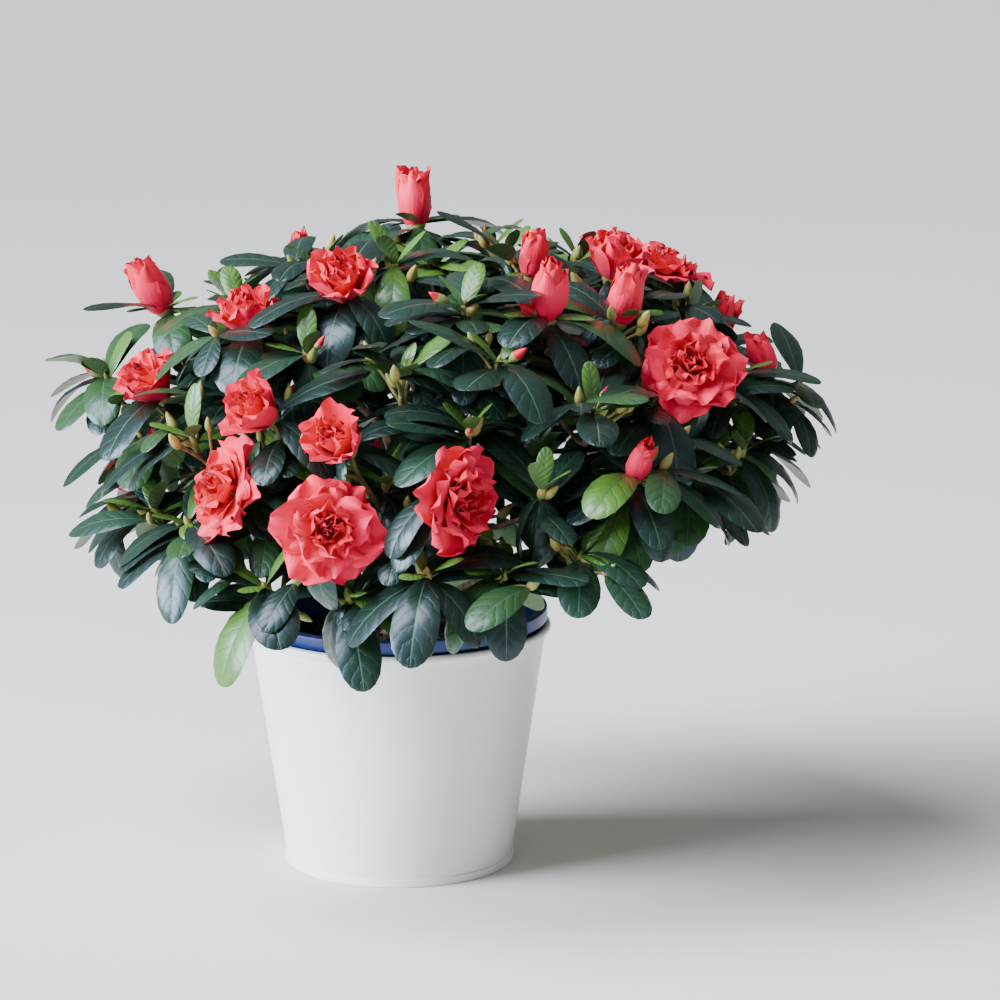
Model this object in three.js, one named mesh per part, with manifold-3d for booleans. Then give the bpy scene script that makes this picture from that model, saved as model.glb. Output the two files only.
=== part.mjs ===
// A florist's azalea in full bloom. One short stem forks low into thirteen boughs, and each bough carries
// a mass of twigs, leathery leaves and coral double flowers. The stem stands in the compost of a blue
// nursery pot, which stands in a cachepot of white enamelled sheet metal.
// Millimetres, +Z up, +X to the right, +Y away from the front. The origin is the middle of the
// cachepot's flat underside.
import * as THREE from "three";
import { mergeVertices } from "three/addons/utils/BufferGeometryUtils.js";
import Module from "manifold-3d";

const wasm = await Module();
wasm.setup();

// Cachepot: a tapered can with a double seam at its foot and a rolled rim.
const CACHEPOT_HEIGHT = 121;
const CACHEPOT_RIM_RADIUS = 75;
const CACHEPOT_FOOT_RADIUS = 57.4;
const CACHEPOT_WALL = 1.1;
const CACHEPOT_FLOOR = 1.6;
const RIM_ROLL = 1.6;
const RIM_ROLL_TURNS = [-45, 15, 75, 135];
const FOOT_BEAD_HEIGHT = 4;
const FOOT_BEAD_PROUD = 0.8;
const EDGE_ROUND = 0.6;
const POT_SIDES = 30;

// Nursery pot: thin plastic, pushed to the right and tipped, so that its rim rides over the cachepot's.
const NURSERY_HEIGHT = 124.6;
const NURSERY_RIM_RADIUS = 71.8;
const NURSERY_RIM_BAND = 6.4;
const NURSERY_TOP_RADIUS = 68;
const NURSERY_BASE_RADIUS = 49;
const NURSERY_WALL = 1.2;
const NURSERY_SHIFT = 2.2;
const NURSERY_TILT = 1.4;
const COMPOST_LEVEL = NURSERY_HEIGHT - 15;
const COMPOST_CROWN = 3;
const COMPOST_GAP = 0.6;

// Main stem, from its flat foot on the compost to the tip that carries the top bough.
const STEM_HEIGHT = 34;
const STEM_LEAN = [7, -2];
const STEM_RADIUS = 6.4;
const STEM_FLARE_RADIUS = 11.5;
const STEM_TIP_RADIUS = 4.2;
const STEM_FLARE_SHARE = 0.34;
const STEM_TIP_BEARING = -15;
const STEM_TIP_LIFT = 76;
const STEM_SIDES = 9;
const STEM_STEPS = 6;

// Boughs: where each leaves the stem and how thick it is at both ends.
const BOUGH_ROOT_RADIUS = 2.7;
const BOUGH_TIP_RADIUS = 2;
const BOUGH_START_RISE = 0.2;
const BOUGH_END_RISE = 0.5;
const BOUGH_SIDES = 5;
const BOUGH_STEPS = 4;
const LOW_WHORLS = [0.4, 0.56];
const HIGH_WHORLS = [0.7, 0.8];

// The crown: the dome that the tips of the shoots stand on, blunter than an ellipsoid.
const CROWN_MIDDLE = [25, 0, 183];
const CROWN_WIDTH = 152;
const CROWN_DEPTH = 150;
const CROWN_RISE = 118;
const CROWN_DROP = 70;
const CROWN_BLUNTNESS = 2.6;
const SKIRT_HEIGHT = 158;
const SKIRT_FLAT = 60;
const SKIRT_RISE_RIGHT = 0.42;
const SKIRT_RISE_LEFT = 0.3;

// Seeded shoots: how many there are in all, how close they stand, how low they go and how far out, the
// share of their axis that points outwards and up, and how often one that faces away from the front ends
// in a flower rather than in a leaf bud.
const SHOOT_COUNT = 84;
const SHOOT_TRIES = 6000;
const SHOOT_SPACING = 37;
const SHOOT_REACH = [0.93, 1.02];
const SHOOT_OUTWARD = 0.5;
const SHOOT_UPWARD = 0.8;
const LOWEST_LIFT = -12;
const FLOWERS_BEHIND = 25;
const FLOWERS_BELOW = 50;
const HEAD_CHANCES = [["bloom", 0.2], ["rose", 0.38], ["bud", 0.65], ["tip", 1]];

// Twigs: thickness at the tip and how it grows with the shoots carried, and where a leader parts.
const TWIG_TIP_RADIUS = 1.25;
const TWIG_THICKENING = 0.3;
const TWIG_SIDES = 3;
const TWIG_STUB = 4;
const TWIG_NECK = 0.25;
const FORK_AT = [0.36, 0.44];
const FORK_SWAY = 5;

// Leaves: a whorl of them under each head, every other one higher and more upright. Ranges are shares
// of the length, the width and the bend, and degrees round the shoot and above the level of its foot.
const LEAF_LENGTH = 48;
const LEAF_LENGTH_SHARES = [0.84, 1.14];
const LEAF_WIDTH = 21.5;
const LEAF_WIDTH_SHARES = [0.86, 1.14];
const LEAF_THICKNESS = 1.6;
const LEAF_WIDEST = 0.52;
const LEAF_OUTLINE = [[0, 0], [LEAF_WIDEST, -0.5], [0.99, -0.17], [0.99, 0.17], [LEAF_WIDEST, 0.5]];
const LEAVES_AT_TIP = 6;
const LEAF_ROUND = [-6, 6];
const LEAF_OPEN = { outer: [-4, 10], inner: [16, 30] };
const LEAF_RISE = { outer: 0.4, inner: 3 };
const LEAF_SINK = 0.4;
const LEAF_TO_SKY = 0.55;
const LEAF_BEND = 62;
const LEAF_BEND_SHARES = [0.6, 1.3];

// A leaf that would touch something is tried again: turned round its shoot, drooped and shortened.
const LEAF_TRIES = [
  { turn: 0, droop: 0, share: 1 },
  { turn: 9, droop: 8, share: 1 },
  { turn: -9, droop: 8, share: 1 },
  { turn: 0, droop: 24, share: 0.92 },
  { turn: 0, droop: -16, share: 0.9 },
  { turn: 5, droop: 40, share: 0.84 },
];

// What a shoot ends in: a leaf bud, a flower bud, a half-open flower or a full double one, as profiles of
// [radius, height] from its foot, and how far its petals are ruffled.
const HEADS = {
  tip: { sides: 4, ruffle: 0, profile: [[0, -5], [5.2, 1.8], [0, 11]] },
  bud: { sides: 6, ruffle: 0, profile: [[0, -5], [4.6, 1], [10, 15], [8.6, 24], [0, 34]] },
  rose: { sides: 6, ruffle: 0.05, profile: [[0, -5], [4.6, 1], [14.5, 13], [17, 24], [8, 28], [0, 25]] },
  bloom: { sides: 9, ruffle: 0.13, profile: [[0, -5], [4.6, 1], [15, 10], [28.5, 19], [13, 24], [0, 22]] },
};
const RUFFLES = 5;
const RUFFLE_RISE = 0.8;

// Clearances between pieces that touch on the plant, between boughs and stem, between masses and between
// twigs of one mass; how far a leaf may lap over its mass's wall; the shortest edge that joining a mass
// keeps; and the seed of the growth.
const SEAT_GAP = 0.3;
const BARK_GAP = 0.34;
const MASS_GAP = 0.45;
const TWIG_GAP = 0.2;
const LEAF_LAP = 14;
const SLIVER = 0.05;
const SEED = 2141;

// The flowering and leafy shoots that face the front, one by one. Bearing is taken round the crown from
// +X and lift up from the level of its middle, in degrees; reach is a share of the dome; face is where
// a flower that doesn't look along its own shoot is turned, as bearing and lift; size is its own scale.
const FRONT_SHOOTS = [
  { head: "bud", bearing: 106, lift: 65, reach: 1.09 },
  { head: "bud", bearing: 145, lift: 50, reach: 0.98, size: 0.7 },
  { head: "rose", bearing: -129, lift: 55, reach: 1, face: [-100, 55] },
  { head: "bud", bearing: 175, lift: 33, reach: 1.1, face: [190, 60] },
  { head: "rose", bearing: -163, lift: 22, reach: 1, face: [-150, 50] },
  { head: "rose", bearing: -125, lift: 24, reach: 1, face: [-140, 35] },
  { head: "rose", bearing: -108, lift: 20, reach: 0.98, face: [-125, 35] },
  { head: "bloom", bearing: -111, lift: 6, reach: 1, face: [-88, 12] },
  { head: "bloom", bearing: -131, lift: 10, reach: 0.96, face: [-150, 20] },
  { head: "bloom", bearing: -91, lift: 12, reach: 1, face: [-35, 4] },
  { head: "bud", bearing: -61, lift: 47, reach: 1 },
  { head: "bud", bearing: -38, lift: 66, reach: 0.99, size: 0.8 },
  { head: "rose", bearing: -14, lift: 54, reach: 1.02 },
  { head: "bud", bearing: -35, lift: 44, reach: 0.97 },
  { head: "bloom", bearing: -30, lift: 29, reach: 1, face: [-82, 38] },
  { head: "bud", bearing: 1, lift: 20, reach: 1.09, face: [150, 72], size: 0.8 },
  { head: "bud", bearing: -54, lift: 13, reach: 1, size: 0.7 },
  { head: "tip", bearing: -93, lift: -2, reach: 1.02 },
  { head: "tip", bearing: -124, lift: -7, reach: 1 },
  { head: "tip", bearing: -143, lift: 2, reach: 1 },
  { head: "tip", bearing: -100, lift: 34, reach: 0.95 },
  { head: "tip", bearing: -79, lift: -3, reach: 0.96 },
  { head: "tip", bearing: -20, lift: 12, reach: 1 },
  { head: "rose", bearing: -150, lift: 40, reach: 0.95 },
  { head: "tip", bearing: 170, lift: 17, reach: 1.16 },
  { head: "tip", bearing: -78, lift: 36, reach: 1 },
  { head: "tip", bearing: -65, lift: 0, reach: 0.98 },
  { head: "tip", bearing: -42, lift: 26, reach: 0.97 },
  { head: "tip", bearing: -72, lift: 12, reach: 0.97 },
  { head: "tip", bearing: -60, lift: 25, reach: 0.99 },
  { head: "tip", bearing: -85, lift: 24, reach: 0.93 },
  { head: "tip", bearing: -103, lift: 14, reach: 0.84 },
  { head: "tip", bearing: -129, lift: 15, reach: 0.84 },
];

// The masses of foliage: a name, and the direction in which each leans from the crown's middle.
const LOW_MASSES = ["right", "back_right", "back", "back_left"];
LOW_MASSES.push("left", "front_left", "front", "front_right");
const HIGH_MASSES = ["right", "back", "left", "front"];
const LOW_MASS_LIFT = 6;
const LOW_BOUGH_DROP = 14;
const HIGH_MASS_LIFT = 47;
const HIGH_MASS_TURN = 22;
const LOW_BOUGH_REACH = 0.52;
const HIGH_BOUGH_REACH = 0.36;
const TOP_MASS_LIFT = 88;
const TOP_BOUGH_REACH = 0.34;

const enamel = new THREE.MeshStandardMaterial({ color: 0xf1f0ec, roughness: 0.3, metalness: 0.1 });
const bluePlastic = new THREE.MeshStandardMaterial({ color: 0x1d3f86, roughness: 0.5, metalness: 0 });
const compostBrown = new THREE.MeshStandardMaterial({ color: 0x2a211b, roughness: 1, metalness: 0 });
const bark = new THREE.MeshStandardMaterial({ color: 0x6d5a46, roughness: 0.9, metalness: 0 });
const foliage = new THREE.MeshStandardMaterial({ color: 0x2b3d31, roughness: 0.45, metalness: 0 });

const UP = new THREE.Vector3(0, 0, 1);
const rad = THREE.MathUtils.degToRad;
const vector = (list) => new THREE.Vector3(...list);
const between = ([low, high], share) => low + (high - low) * share;

// A stream of seeded numbers between 0 and 1, one stream for each use, by the minimal standard generator.
function stream(number) {
  let state = (SEED * 7919 + number * 104729) % 2147483647;
  const next = () => {
    state = (state * 48271) % 2147483647;
    return state / 2147483647;
  };
  next();
  next();
  return next;
}

// A unit vector from its bearing round +Z and its lift above the level.
function direction(bearing, lift) {
  const level = new THREE.Vector3(Math.cos(rad(bearing)), Math.sin(rad(bearing)), 0);
  return level.multiplyScalar(Math.cos(rad(lift))).addScaledVector(UP, Math.sin(rad(lift)));
}

// The point of the crown's dome in a direction, at a share of the way out to it.
function domePoint(bearing, lift, reach) {
  const along = direction(bearing, lift);
  const level = Math.hypot(along.x / CROWN_WIDTH, along.y / CROWN_DEPTH);
  const upright = Math.abs(along.z) / (along.z > 0 ? CROWN_RISE : CROWN_DROP);
  const size = (level ** CROWN_BLUNTNESS + upright ** CROWN_BLUNTNESS) ** (-1 / CROWN_BLUNTNESS);
  return along.multiplyScalar(size * reach).add(vector(CROWN_MIDDLE));
}

// The lowest that a shoot may stand: the crown's skirt rises towards both sides.
function skirt(x) {
  const right = Math.max(0, x - SKIRT_FLAT) * SKIRT_RISE_RIGHT;
  const left = Math.max(0, -SKIRT_FLAT - x) * SKIRT_RISE_LEFT;
  return SKIRT_HEIGHT + right + left;
}

// A shoot's tip, and its axis, which leans outwards low on the crown and stands up near the top.
function shootAt(row) {
  const foot = domePoint(row.bearing, row.lift, row.reach);
  const outward = direction(row.bearing, Math.max(row.lift, 0));
  const axis = outward.multiplyScalar(SHOOT_OUTWARD).addScaledVector(UP, SHOOT_UPWARD).normalize();
  const face = row.face ? direction(...row.face) : axis;
  return { ...row, foot, axis, face, size: row.size ?? 1 };
}

// All shoots: the ones named above, then seeded ones wherever the dome still has room.
function sowShoots() {
  const shoots = FRONT_SHOOTS.map(shootAt);
  const draw = stream(1);
  const lowest = Math.sin(rad(LOWEST_LIFT));
  for (let tries = 0; tries < SHOOT_TRIES && shoots.length < SHOOT_COUNT; tries++) {
    const bearing = 360 * draw();
    const lift = THREE.MathUtils.radToDeg(Math.asin(between([lowest, 1], draw())));
    const reach = between(SHOOT_REACH, draw());
    const chance = draw();
    const shoot = shootAt({ head: "tip", bearing, lift, reach });
    const flowers = shoot.foot.y > FLOWERS_BEHIND && lift < FLOWERS_BELOW;
    if (flowers) shoot.head = HEAD_CHANCES.find(([, share]) => chance < share)[0];
    const room = shoots.every((other) => other.foot.distanceTo(shoot.foot) > SHOOT_SPACING);
    if (room && shoot.foot.z > skirt(shoot.foot.x)) shoots.push(shoot);
  }
  shoots.forEach((shoot, index) => {
    shoot.index = index;
    shoot.spin = 360 * stream(1000 + index)();
  });
  return shoots;
}

// A closed BufferGeometry as a solid.
function solid(geometry) {
  const bare = new THREE.BufferGeometry();
  bare.setAttribute("position", geometry.getAttribute("position"));
  if (geometry.index) bare.setIndex(geometry.index);
  const merged = mergeVertices(bare, 1e-4);
  const triVerts = new Uint32Array(merged.index.array);
  const vertProperties = merged.getAttribute("position").array;
  return new wasm.Manifold(new wasm.Mesh({ numProp: 3, vertProperties, triVerts }));
}

function geometryOf(made) {
  const { vertProperties, triVerts } = made.getMesh();
  const geometry = new THREE.BufferGeometry();
  geometry.setAttribute("position", new THREE.BufferAttribute(vertProperties, 3));
  geometry.setIndex(new THREE.BufferAttribute(triVerts, 1));
  return geometry;
}

// A closed lathe about +Z from [radius, height] pairs.
function turned(profile, sides) {
  const geometry = new THREE.LatheGeometry(profile.map(([r, z]) => new THREE.Vector2(r, z)), sides);
  geometry.rotateX(Math.PI / 2);
  return geometry;
}

// A round limb that tapers along a curve: a cylinder bent onto it. radiusAt gives its radius from 0 to 1.
function limb(curve, radiusAt, sides, steps) {
  const rings = [];
  let across = new THREE.Vector3(0.3, 0.9, 0.2);
  for (let step = 0; step <= steps; step++) {
    const along = step / steps;
    const tangent = curve.getTangent(along);
    across = across.clone().addScaledVector(tangent, -across.dot(tangent)).normalize();
    const beside = new THREE.Vector3().crossVectors(tangent, across);
    rings.push({ point: curve.getPoint(along), across, beside, radius: radiusAt(along) });
  }
  const geometry = new THREE.CylinderGeometry(1, 1, 1, sides, steps);
  const place = geometry.getAttribute("position");
  for (let i = 0; i < place.count; i++) {
    const { point, across, beside, radius } = rings[Math.round((place.getY(i) + 0.5) * steps)];
    const spot = point.clone().addScaledVector(across, -place.getX(i) * radius);
    spot.addScaledVector(beside, place.getZ(i) * radius);
    place.setXYZ(i, spot.x, spot.y, spot.z);
  }
  return geometry;
}

// A smooth run between two points that leaves and arrives in given directions.
function run(from, leaving, to, arriving, ease = 0.36) {
  const hold = from.distanceTo(to) * ease;
  const first = from.clone().addScaledVector(leaving, hold);
  const second = to.clone().addScaledVector(arriving, -hold);
  return new THREE.CubicBezierCurve3(from, first, second, to);
}

// Pots and compost.
function cachepotGeometry() {
  const rollMiddle = CACHEPOT_RIM_RADIUS - RIM_ROLL;
  const rollLevel = CACHEPOT_HEIGHT - RIM_ROLL;
  const seam = CACHEPOT_FOOT_RADIUS - FOOT_BEAD_PROUD;
  const inner = seam - CACHEPOT_WALL;
  const profile = [[0, 0], [CACHEPOT_FOOT_RADIUS - EDGE_ROUND, 0], [CACHEPOT_FOOT_RADIUS, EDGE_ROUND]];
  profile.push([CACHEPOT_FOOT_RADIUS, FOOT_BEAD_HEIGHT - EDGE_ROUND], [seam, FOOT_BEAD_HEIGHT]);
  profile.push([rollMiddle - EDGE_ROUND, rollLevel - RIM_ROLL]);
  for (const turn of RIM_ROLL_TURNS) {
    const out = RIM_ROLL * Math.cos(rad(turn));
    profile.push([rollMiddle + out, rollLevel + RIM_ROLL * Math.sin(rad(turn))]);
  }
  profile.push([rollMiddle - RIM_ROLL, rollLevel - EDGE_ROUND], [inner, FOOT_BEAD_HEIGHT]);
  profile.push([inner - EDGE_ROUND, CACHEPOT_FLOOR], [0, CACHEPOT_FLOOR]);
  return turned(profile, POT_SIDES);
}

function nurseryPotGeometry() {
  const bandFoot = NURSERY_HEIGHT - NURSERY_RIM_BAND;
  const inner = NURSERY_TOP_RADIUS - NURSERY_WALL;
  const profile = [[0, 0], [NURSERY_BASE_RADIUS, 0], [NURSERY_TOP_RADIUS, bandFoot]];
  profile.push([NURSERY_RIM_RADIUS - EDGE_ROUND, bandFoot], [NURSERY_RIM_RADIUS, bandFoot + EDGE_ROUND]);
  profile.push([NURSERY_RIM_RADIUS, NURSERY_HEIGHT - EDGE_ROUND]);
  profile.push([NURSERY_RIM_RADIUS - EDGE_ROUND, NURSERY_HEIGHT]);
  profile.push([inner, NURSERY_HEIGHT], [inner, bandFoot]);
  profile.push([NURSERY_BASE_RADIUS - NURSERY_WALL, NURSERY_WALL], [0, NURSERY_WALL]);
  return turned(profile, POT_SIDES);
}

// How wide the nursery pot is inside at a height above its underside.
function nurseryInnerRadius(height) {
  const bandFoot = NURSERY_HEIGHT - NURSERY_RIM_BAND;
  const share = Math.min(1, Math.max(0, (height - NURSERY_WALL) / (bandFoot - NURSERY_WALL)));
  const base = NURSERY_BASE_RADIUS - NURSERY_WALL;
  return base + share * (NURSERY_TOP_RADIUS - NURSERY_WALL - base);
}

// The compost fills the nursery pot and rises a little towards the stem, where it lies flat.
function compostGeometry() {
  const floor = NURSERY_WALL + SEAT_GAP;
  const top = COMPOST_LEVEL + COMPOST_CROWN;
  const profile = [[0, floor], [nurseryInnerRadius(floor) - COMPOST_GAP, floor]];
  profile.push([nurseryInnerRadius(COMPOST_LEVEL) - COMPOST_GAP, COMPOST_LEVEL]);
  profile.push([STEM_FLARE_RADIUS * 3, COMPOST_LEVEL + COMPOST_CROWN / 2]);
  profile.push([STEM_FLARE_RADIUS * 1.2, top], [0, top]);
  return turned(profile, POT_SIDES);
}

// The nursery pot and its compost stand together, tipped so that the right edge of the rim is the higher.
const pottedPlant = new THREE.Group();
const tiltRise = Math.sin(rad(NURSERY_TILT));
const baseShift = NURSERY_SHIFT + NURSERY_HEIGHT * tiltRise;
pottedPlant.position.set(baseShift, 0, CACHEPOT_FLOOR + SEAT_GAP + NURSERY_BASE_RADIUS * tiltRise);
pottedPlant.rotation.y = -rad(NURSERY_TILT);
pottedPlant.updateMatrixWorld(true);

// The main stem: square to the tipped compost at its foot, flared there, then leaning to the right.
const potAxis = UP.clone().transformDirection(pottedPlant.matrixWorld);
const stemFoot = new THREE.Vector3(0, 0, COMPOST_LEVEL + COMPOST_CROWN + SEAT_GAP);
stemFoot.applyMatrix4(pottedPlant.matrixWorld);
const stemTip = stemFoot.clone().add(new THREE.Vector3(...STEM_LEAN, STEM_HEIGHT));
const stemCurve = run(stemFoot, potAxis, stemTip, direction(STEM_TIP_BEARING, STEM_TIP_LIFT));

function stemRadius(along) {
  const flare = (STEM_FLARE_RADIUS - STEM_RADIUS) * Math.max(0, 1 - along / STEM_FLARE_SHARE) ** 2;
  return flare + between([STEM_RADIUS, STEM_TIP_RADIUS], along);
}

// The masses: a low ring, a high ring and the top, each with its bough from the stem.
function planMasses() {
  const masses = [];
  LOW_MASSES.forEach((name, index) => {
    const bearing = index * (360 / LOW_MASSES.length);
    const whorl = LOW_WHORLS[index % 2];
    const row = { bearing, lift: LOW_MASS_LIFT, reach: LOW_BOUGH_REACH, drop: LOW_BOUGH_DROP, whorl };
    masses.push({ name: "low_" + name, ...row });
  });
  HIGH_MASSES.forEach((name, index) => {
    const bearing = index * (360 / HIGH_MASSES.length) + HIGH_MASS_TURN;
    const whorl = HIGH_WHORLS[index % 2];
    const row = { bearing, lift: HIGH_MASS_LIFT, reach: HIGH_BOUGH_REACH, drop: 0, whorl };
    masses.push({ name: "high_" + name, ...row });
  });
  const topRow = { bearing: 0, lift: TOP_MASS_LIFT, reach: TOP_BOUGH_REACH, drop: 0, whorl: 1 };
  masses.push({ name: "top", ...topRow });
  for (const mass of masses) {
    mass.lean = direction(mass.bearing, mass.lift);
    mass.tip = domePoint(mass.bearing, mass.lift - mass.drop, mass.reach);
    mass.arriving = mass.lean.clone().addScaledVector(UP, BOUGH_END_RISE).normalize();
    mass.shoots = [];
  }
  return masses;
}

// A bough springs from the stem's heart, is cut back to clear its bark, and rises to the foot of its mass.
function growBough(mass) {
  const onTop = mass.whorl === 1;
  const heart = stemCurve.getPoint(mass.whorl);
  const start = onTop ? heart.addScaledVector(stemCurve.getTangent(1), SEAT_GAP) : heart;
  const out = mass.tip.clone().sub(start).setZ(0).normalize();
  const rising = out.addScaledVector(UP, BOUGH_START_RISE).normalize();
  const leaving = onTop ? stemCurve.getTangent(1) : rising;
  const curve = run(start, leaving, mass.tip, mass.arriving);
  const radiusAt = (along) => between([BOUGH_ROOT_RADIUS, BOUGH_TIP_RADIUS], along);
  const whole = solid(limb(curve, radiusAt, BOUGH_SIDES, BOUGH_STEPS));
  if (onTop) return geometryOf(whole);
  const sleeveRadius = (along) => stemRadius(along) + BARK_GAP;
  const sleeve = solid(limb(stemCurve, sleeveRadius, STEM_SIDES, STEM_STEPS));
  return geometryOf(whole.subtract(sleeve));
}

// The twigs of a mass. A leader runs on towards the shoots it still has to reach; where they part, half of
// them go on to a side twig that starts inside the leader, and so on until each twig ends in one shoot.
function growTwigs(points, thick, shoots, twigs) {
  const from = points[points.length - 1];
  if (shoots.length === 1) {
    const [shoot] = shoots;
    const neck = shoot.foot.clone().addScaledVector(shoot.axis, -TWIG_NECK * shoot.foot.distanceTo(from));
    twigs.push({ curve: new THREE.CatmullRomCurve3([...points, neck, shoot.foot]), thick, shoot });
    return;
  }
  const middle = shoots.reduce((sum, shoot) => sum.add(shoot.foot), new THREE.Vector3());
  middle.divideScalar(shoots.length);
  const sway = stream(500 + shoots[0].index * 97 + shoots.length);
  const fork = from.clone().lerp(middle, between(FORK_AT, sway()));
  fork.add(new THREE.Vector3(sway() - 0.5, sway() - 0.5, sway() - 0.5).multiplyScalar(FORK_SWAY));
  const groups = partShoots(shoots);
  growTwigs([...points, fork], thick, groups[0], twigs);
  growTwigs([fork], TWIG_TIP_RADIUS * groups[1].length ** TWIG_THICKENING, groups[1], twigs);
}

// Shoots in two groups, the larger first: each goes with the nearer of the two that stand farthest apart.
function partShoots(shoots) {
  const apart = (a, b) => a.foot.distanceTo(b.foot);
  let ends = [shoots[0], shoots[1]];
  for (const a of shoots)
    for (const b of shoots)
      if (apart(a, b) > apart(...ends)) ends = [a, b];
  const withFirst = (shoot) => apart(shoot, ends[0]) <= apart(shoot, ends[1]);
  const groups = [shoots.filter(withFirst), shoots.filter((shoot) => !withFirst(shoot))];
  return groups.sort((a, b) => b.length - a.length);
}

// A side twig's first ring is drawn in, so that it lies hidden inside its leader.
function twigSolid(twig) {
  const steps = twig.curve.points.length - 1;
  const root = twig.leads ? 1 : 0.5;
  const radiusAt = (along) => (along === 0 ? root : 1) * between([twig.thick, TWIG_TIP_RADIUS], along);
  return solid(limb(twig.curve, radiusAt, TWIG_SIDES, steps));
}

// A leaf blade of eight faces: blunt at its tip, raised to a ridge where it is widest and arched over its
// length. out is the way it leaves the shoot and up the way its glossy face looks.
function leafBlade({ root, out, up, length, width, bend }) {
  const side = new THREE.Vector3().crossVectors(out, up);
  const arc = rad(Math.max(bend, 1));
  const station = (along, across, raised) => {
    const turn = arc * along;
    const forward = (length / arc) * Math.sin(turn);
    const fall = (length / arc) * (1 - Math.cos(turn));
    const face = up.clone().multiplyScalar(Math.cos(turn)).addScaledVector(out, Math.sin(turn));
    const point = root.clone().addScaledVector(out, forward).addScaledVector(up, -fall);
    return point.addScaledVector(side, across * width).addScaledVector(face, raised);
  };
  const corners = LEAF_OUTLINE.map(([along, across]) => station(along, across, 0));
  corners.push(station(LEAF_WIDEST, 0, LEAF_THICKNESS));
  const geometry = new THREE.BufferGeometry().setFromPoints(corners);
  const faces = [0, 1, 4, 1, 3, 4, 1, 2, 3];
  for (let i = 0; i < 5; i++) faces.push(i, 5, (i + 1) % 5);
  geometry.setIndex(faces);
  return { geometry, corners };
}

// The head of a shoot: its kind's profile turned, its petals waved in and out, and set to face its way.
function headSolid(shoot) {
  const { sides, ruffle, profile } = HEADS[shoot.head];
  const geometry = turned(profile, sides).rotateZ(rad(shoot.spin));
  const place = geometry.getAttribute("position");
  const widest = Math.max(...profile.map(([r]) => r));
  for (let i = 0; i < place.count; i++) {
    const [x, y, z] = [place.getX(i), place.getY(i), place.getZ(i)];
    const share = Math.hypot(x, y) / widest;
    const wave = ruffle * share * Math.cos(RUFFLES * Math.atan2(y, x) + shoot.index);
    place.setXYZ(i, x * (1 + wave), y * (1 + wave), z + wave * widest * RUFFLE_RISE);
  }
  const turn = new THREE.Quaternion().setFromUnitVectors(UP, shoot.face);
  const size = new THREE.Vector3(1, 1, 1).multiplyScalar(shoot.size);
  return solid(geometry.applyMatrix4(new THREE.Matrix4().compose(shoot.foot, turn, size)));
}

// How far past the wall of its mass a point lies: each mass keeps the part of the crown nearest its lean.
function pastWall(point, mass, masses) {
  const from = point.clone().sub(vector(CROWN_MIDDLE));
  let past = -Infinity;
  for (const other of masses)
    if (other !== mass) {
      const wall = other.lean.clone().sub(mass.lean);
      past = Math.max(past, from.dot(wall) / wall.length());
    }
  return past;
}

// Whether two solids come closer than a gap; their boxes are compared first.
function near(a, b, gap) {
  const boxA = a.boundingBox();
  const boxB = b.boundingBox();
  for (let i = 0; i < 3; i++)
    if (boxA.min[i] > boxB.max[i] + gap || boxB.min[i] > boxA.max[i] + gap) return false;
  return a.minGap(b, gap * 1.5) < gap;
}

// One leaf of a shoot as it grows: how it lies round the axis, its size and how it opens and arches.
function leafPlan(shoot, i, draw) {
  const tier = i % 2 ? "inner" : "outer";
  const round = shoot.spin + (360 / LEAVES_AT_TIP) * i + between(LEAF_ROUND, draw());
  const length = LEAF_LENGTH * between(LEAF_LENGTH_SHARES, draw());
  const width = LEAF_WIDTH * between(LEAF_WIDTH_SHARES, draw());
  const open = between(LEAF_OPEN[tier], draw());
  const bend = LEAF_BEND * between(LEAF_BEND_SHARES, draw());
  return { round, length, width, open, bend, rise: LEAF_RISE[tier] };
}

// That leaf after one of its tries, with its root sunk in the shoot and its glossy face to the sky.
function leafAfter(plan, { turn, droop, share }, shoot) {
  const toAxis = new THREE.Quaternion().setFromUnitVectors(UP, shoot.axis);
  const spoke = new THREE.Vector3(1, 0, 0).applyQuaternion(toAxis);
  spoke.applyAxisAngle(shoot.axis, rad(plan.round + turn));
  const rise = rad(plan.open - droop);
  const out = spoke.multiplyScalar(Math.cos(rise)).addScaledVector(shoot.axis, Math.sin(rise));
  const sky = shoot.axis.clone().lerp(UP, LEAF_TO_SKY);
  const up = sky.addScaledVector(out, -sky.dot(out)).normalize();
  const root = shoot.foot.clone().addScaledVector(shoot.axis, plan.rise).addScaledVector(out, LEAF_SINK);
  const size = { length: plan.length * share, width: plan.width * share, bend: plan.bend + droop };
  return leafBlade({ root, out, up, ...size });
}

// The leaves of one shoot. A leaf that would leave its mass's space or touch another shoot or a limb is
// tried in other ways, then left out.
function growLeaves(shoot, mass, masses, others) {
  const draw = stream(2000 + shoot.index);
  const neighbours = others.filter((other) => other.shoot !== shoot);
  for (let i = 0; i < LEAVES_AT_TIP; i++) {
    const plan = leafPlan(shoot, i, draw);
    for (const attempt of LEAF_TRIES) {
      const { geometry, corners } = leafAfter(plan, attempt, shoot);
      const made = solid(geometry);
      const strays = corners.some((corner) => pastWall(corner, mass, masses) > LEAF_LAP);
      const gap = (other) => (other.mass === mass ? TWIG_GAP : MASS_GAP);
      if (strays || neighbours.some((other) => near(made, other.made, gap(other)))) continue;
      others.push({ made, mass, shoot });
      break;
    }
  }
}

// Grow the plant: boughs, then every twig and head, then the leaves shoot by shoot round the crown.
const masses = planMasses();
const shoots = sowShoots();
for (const shoot of shoots) {
  const lean = shoot.foot.clone().sub(vector(CROWN_MIDDLE)).normalize();
  const nearest = masses.reduce((best, mass) => (mass.lean.dot(lean) > best.lean.dot(lean) ? mass : best));
  shoot.mass = nearest;
  nearest.shoots.push(shoot);
}

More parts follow.
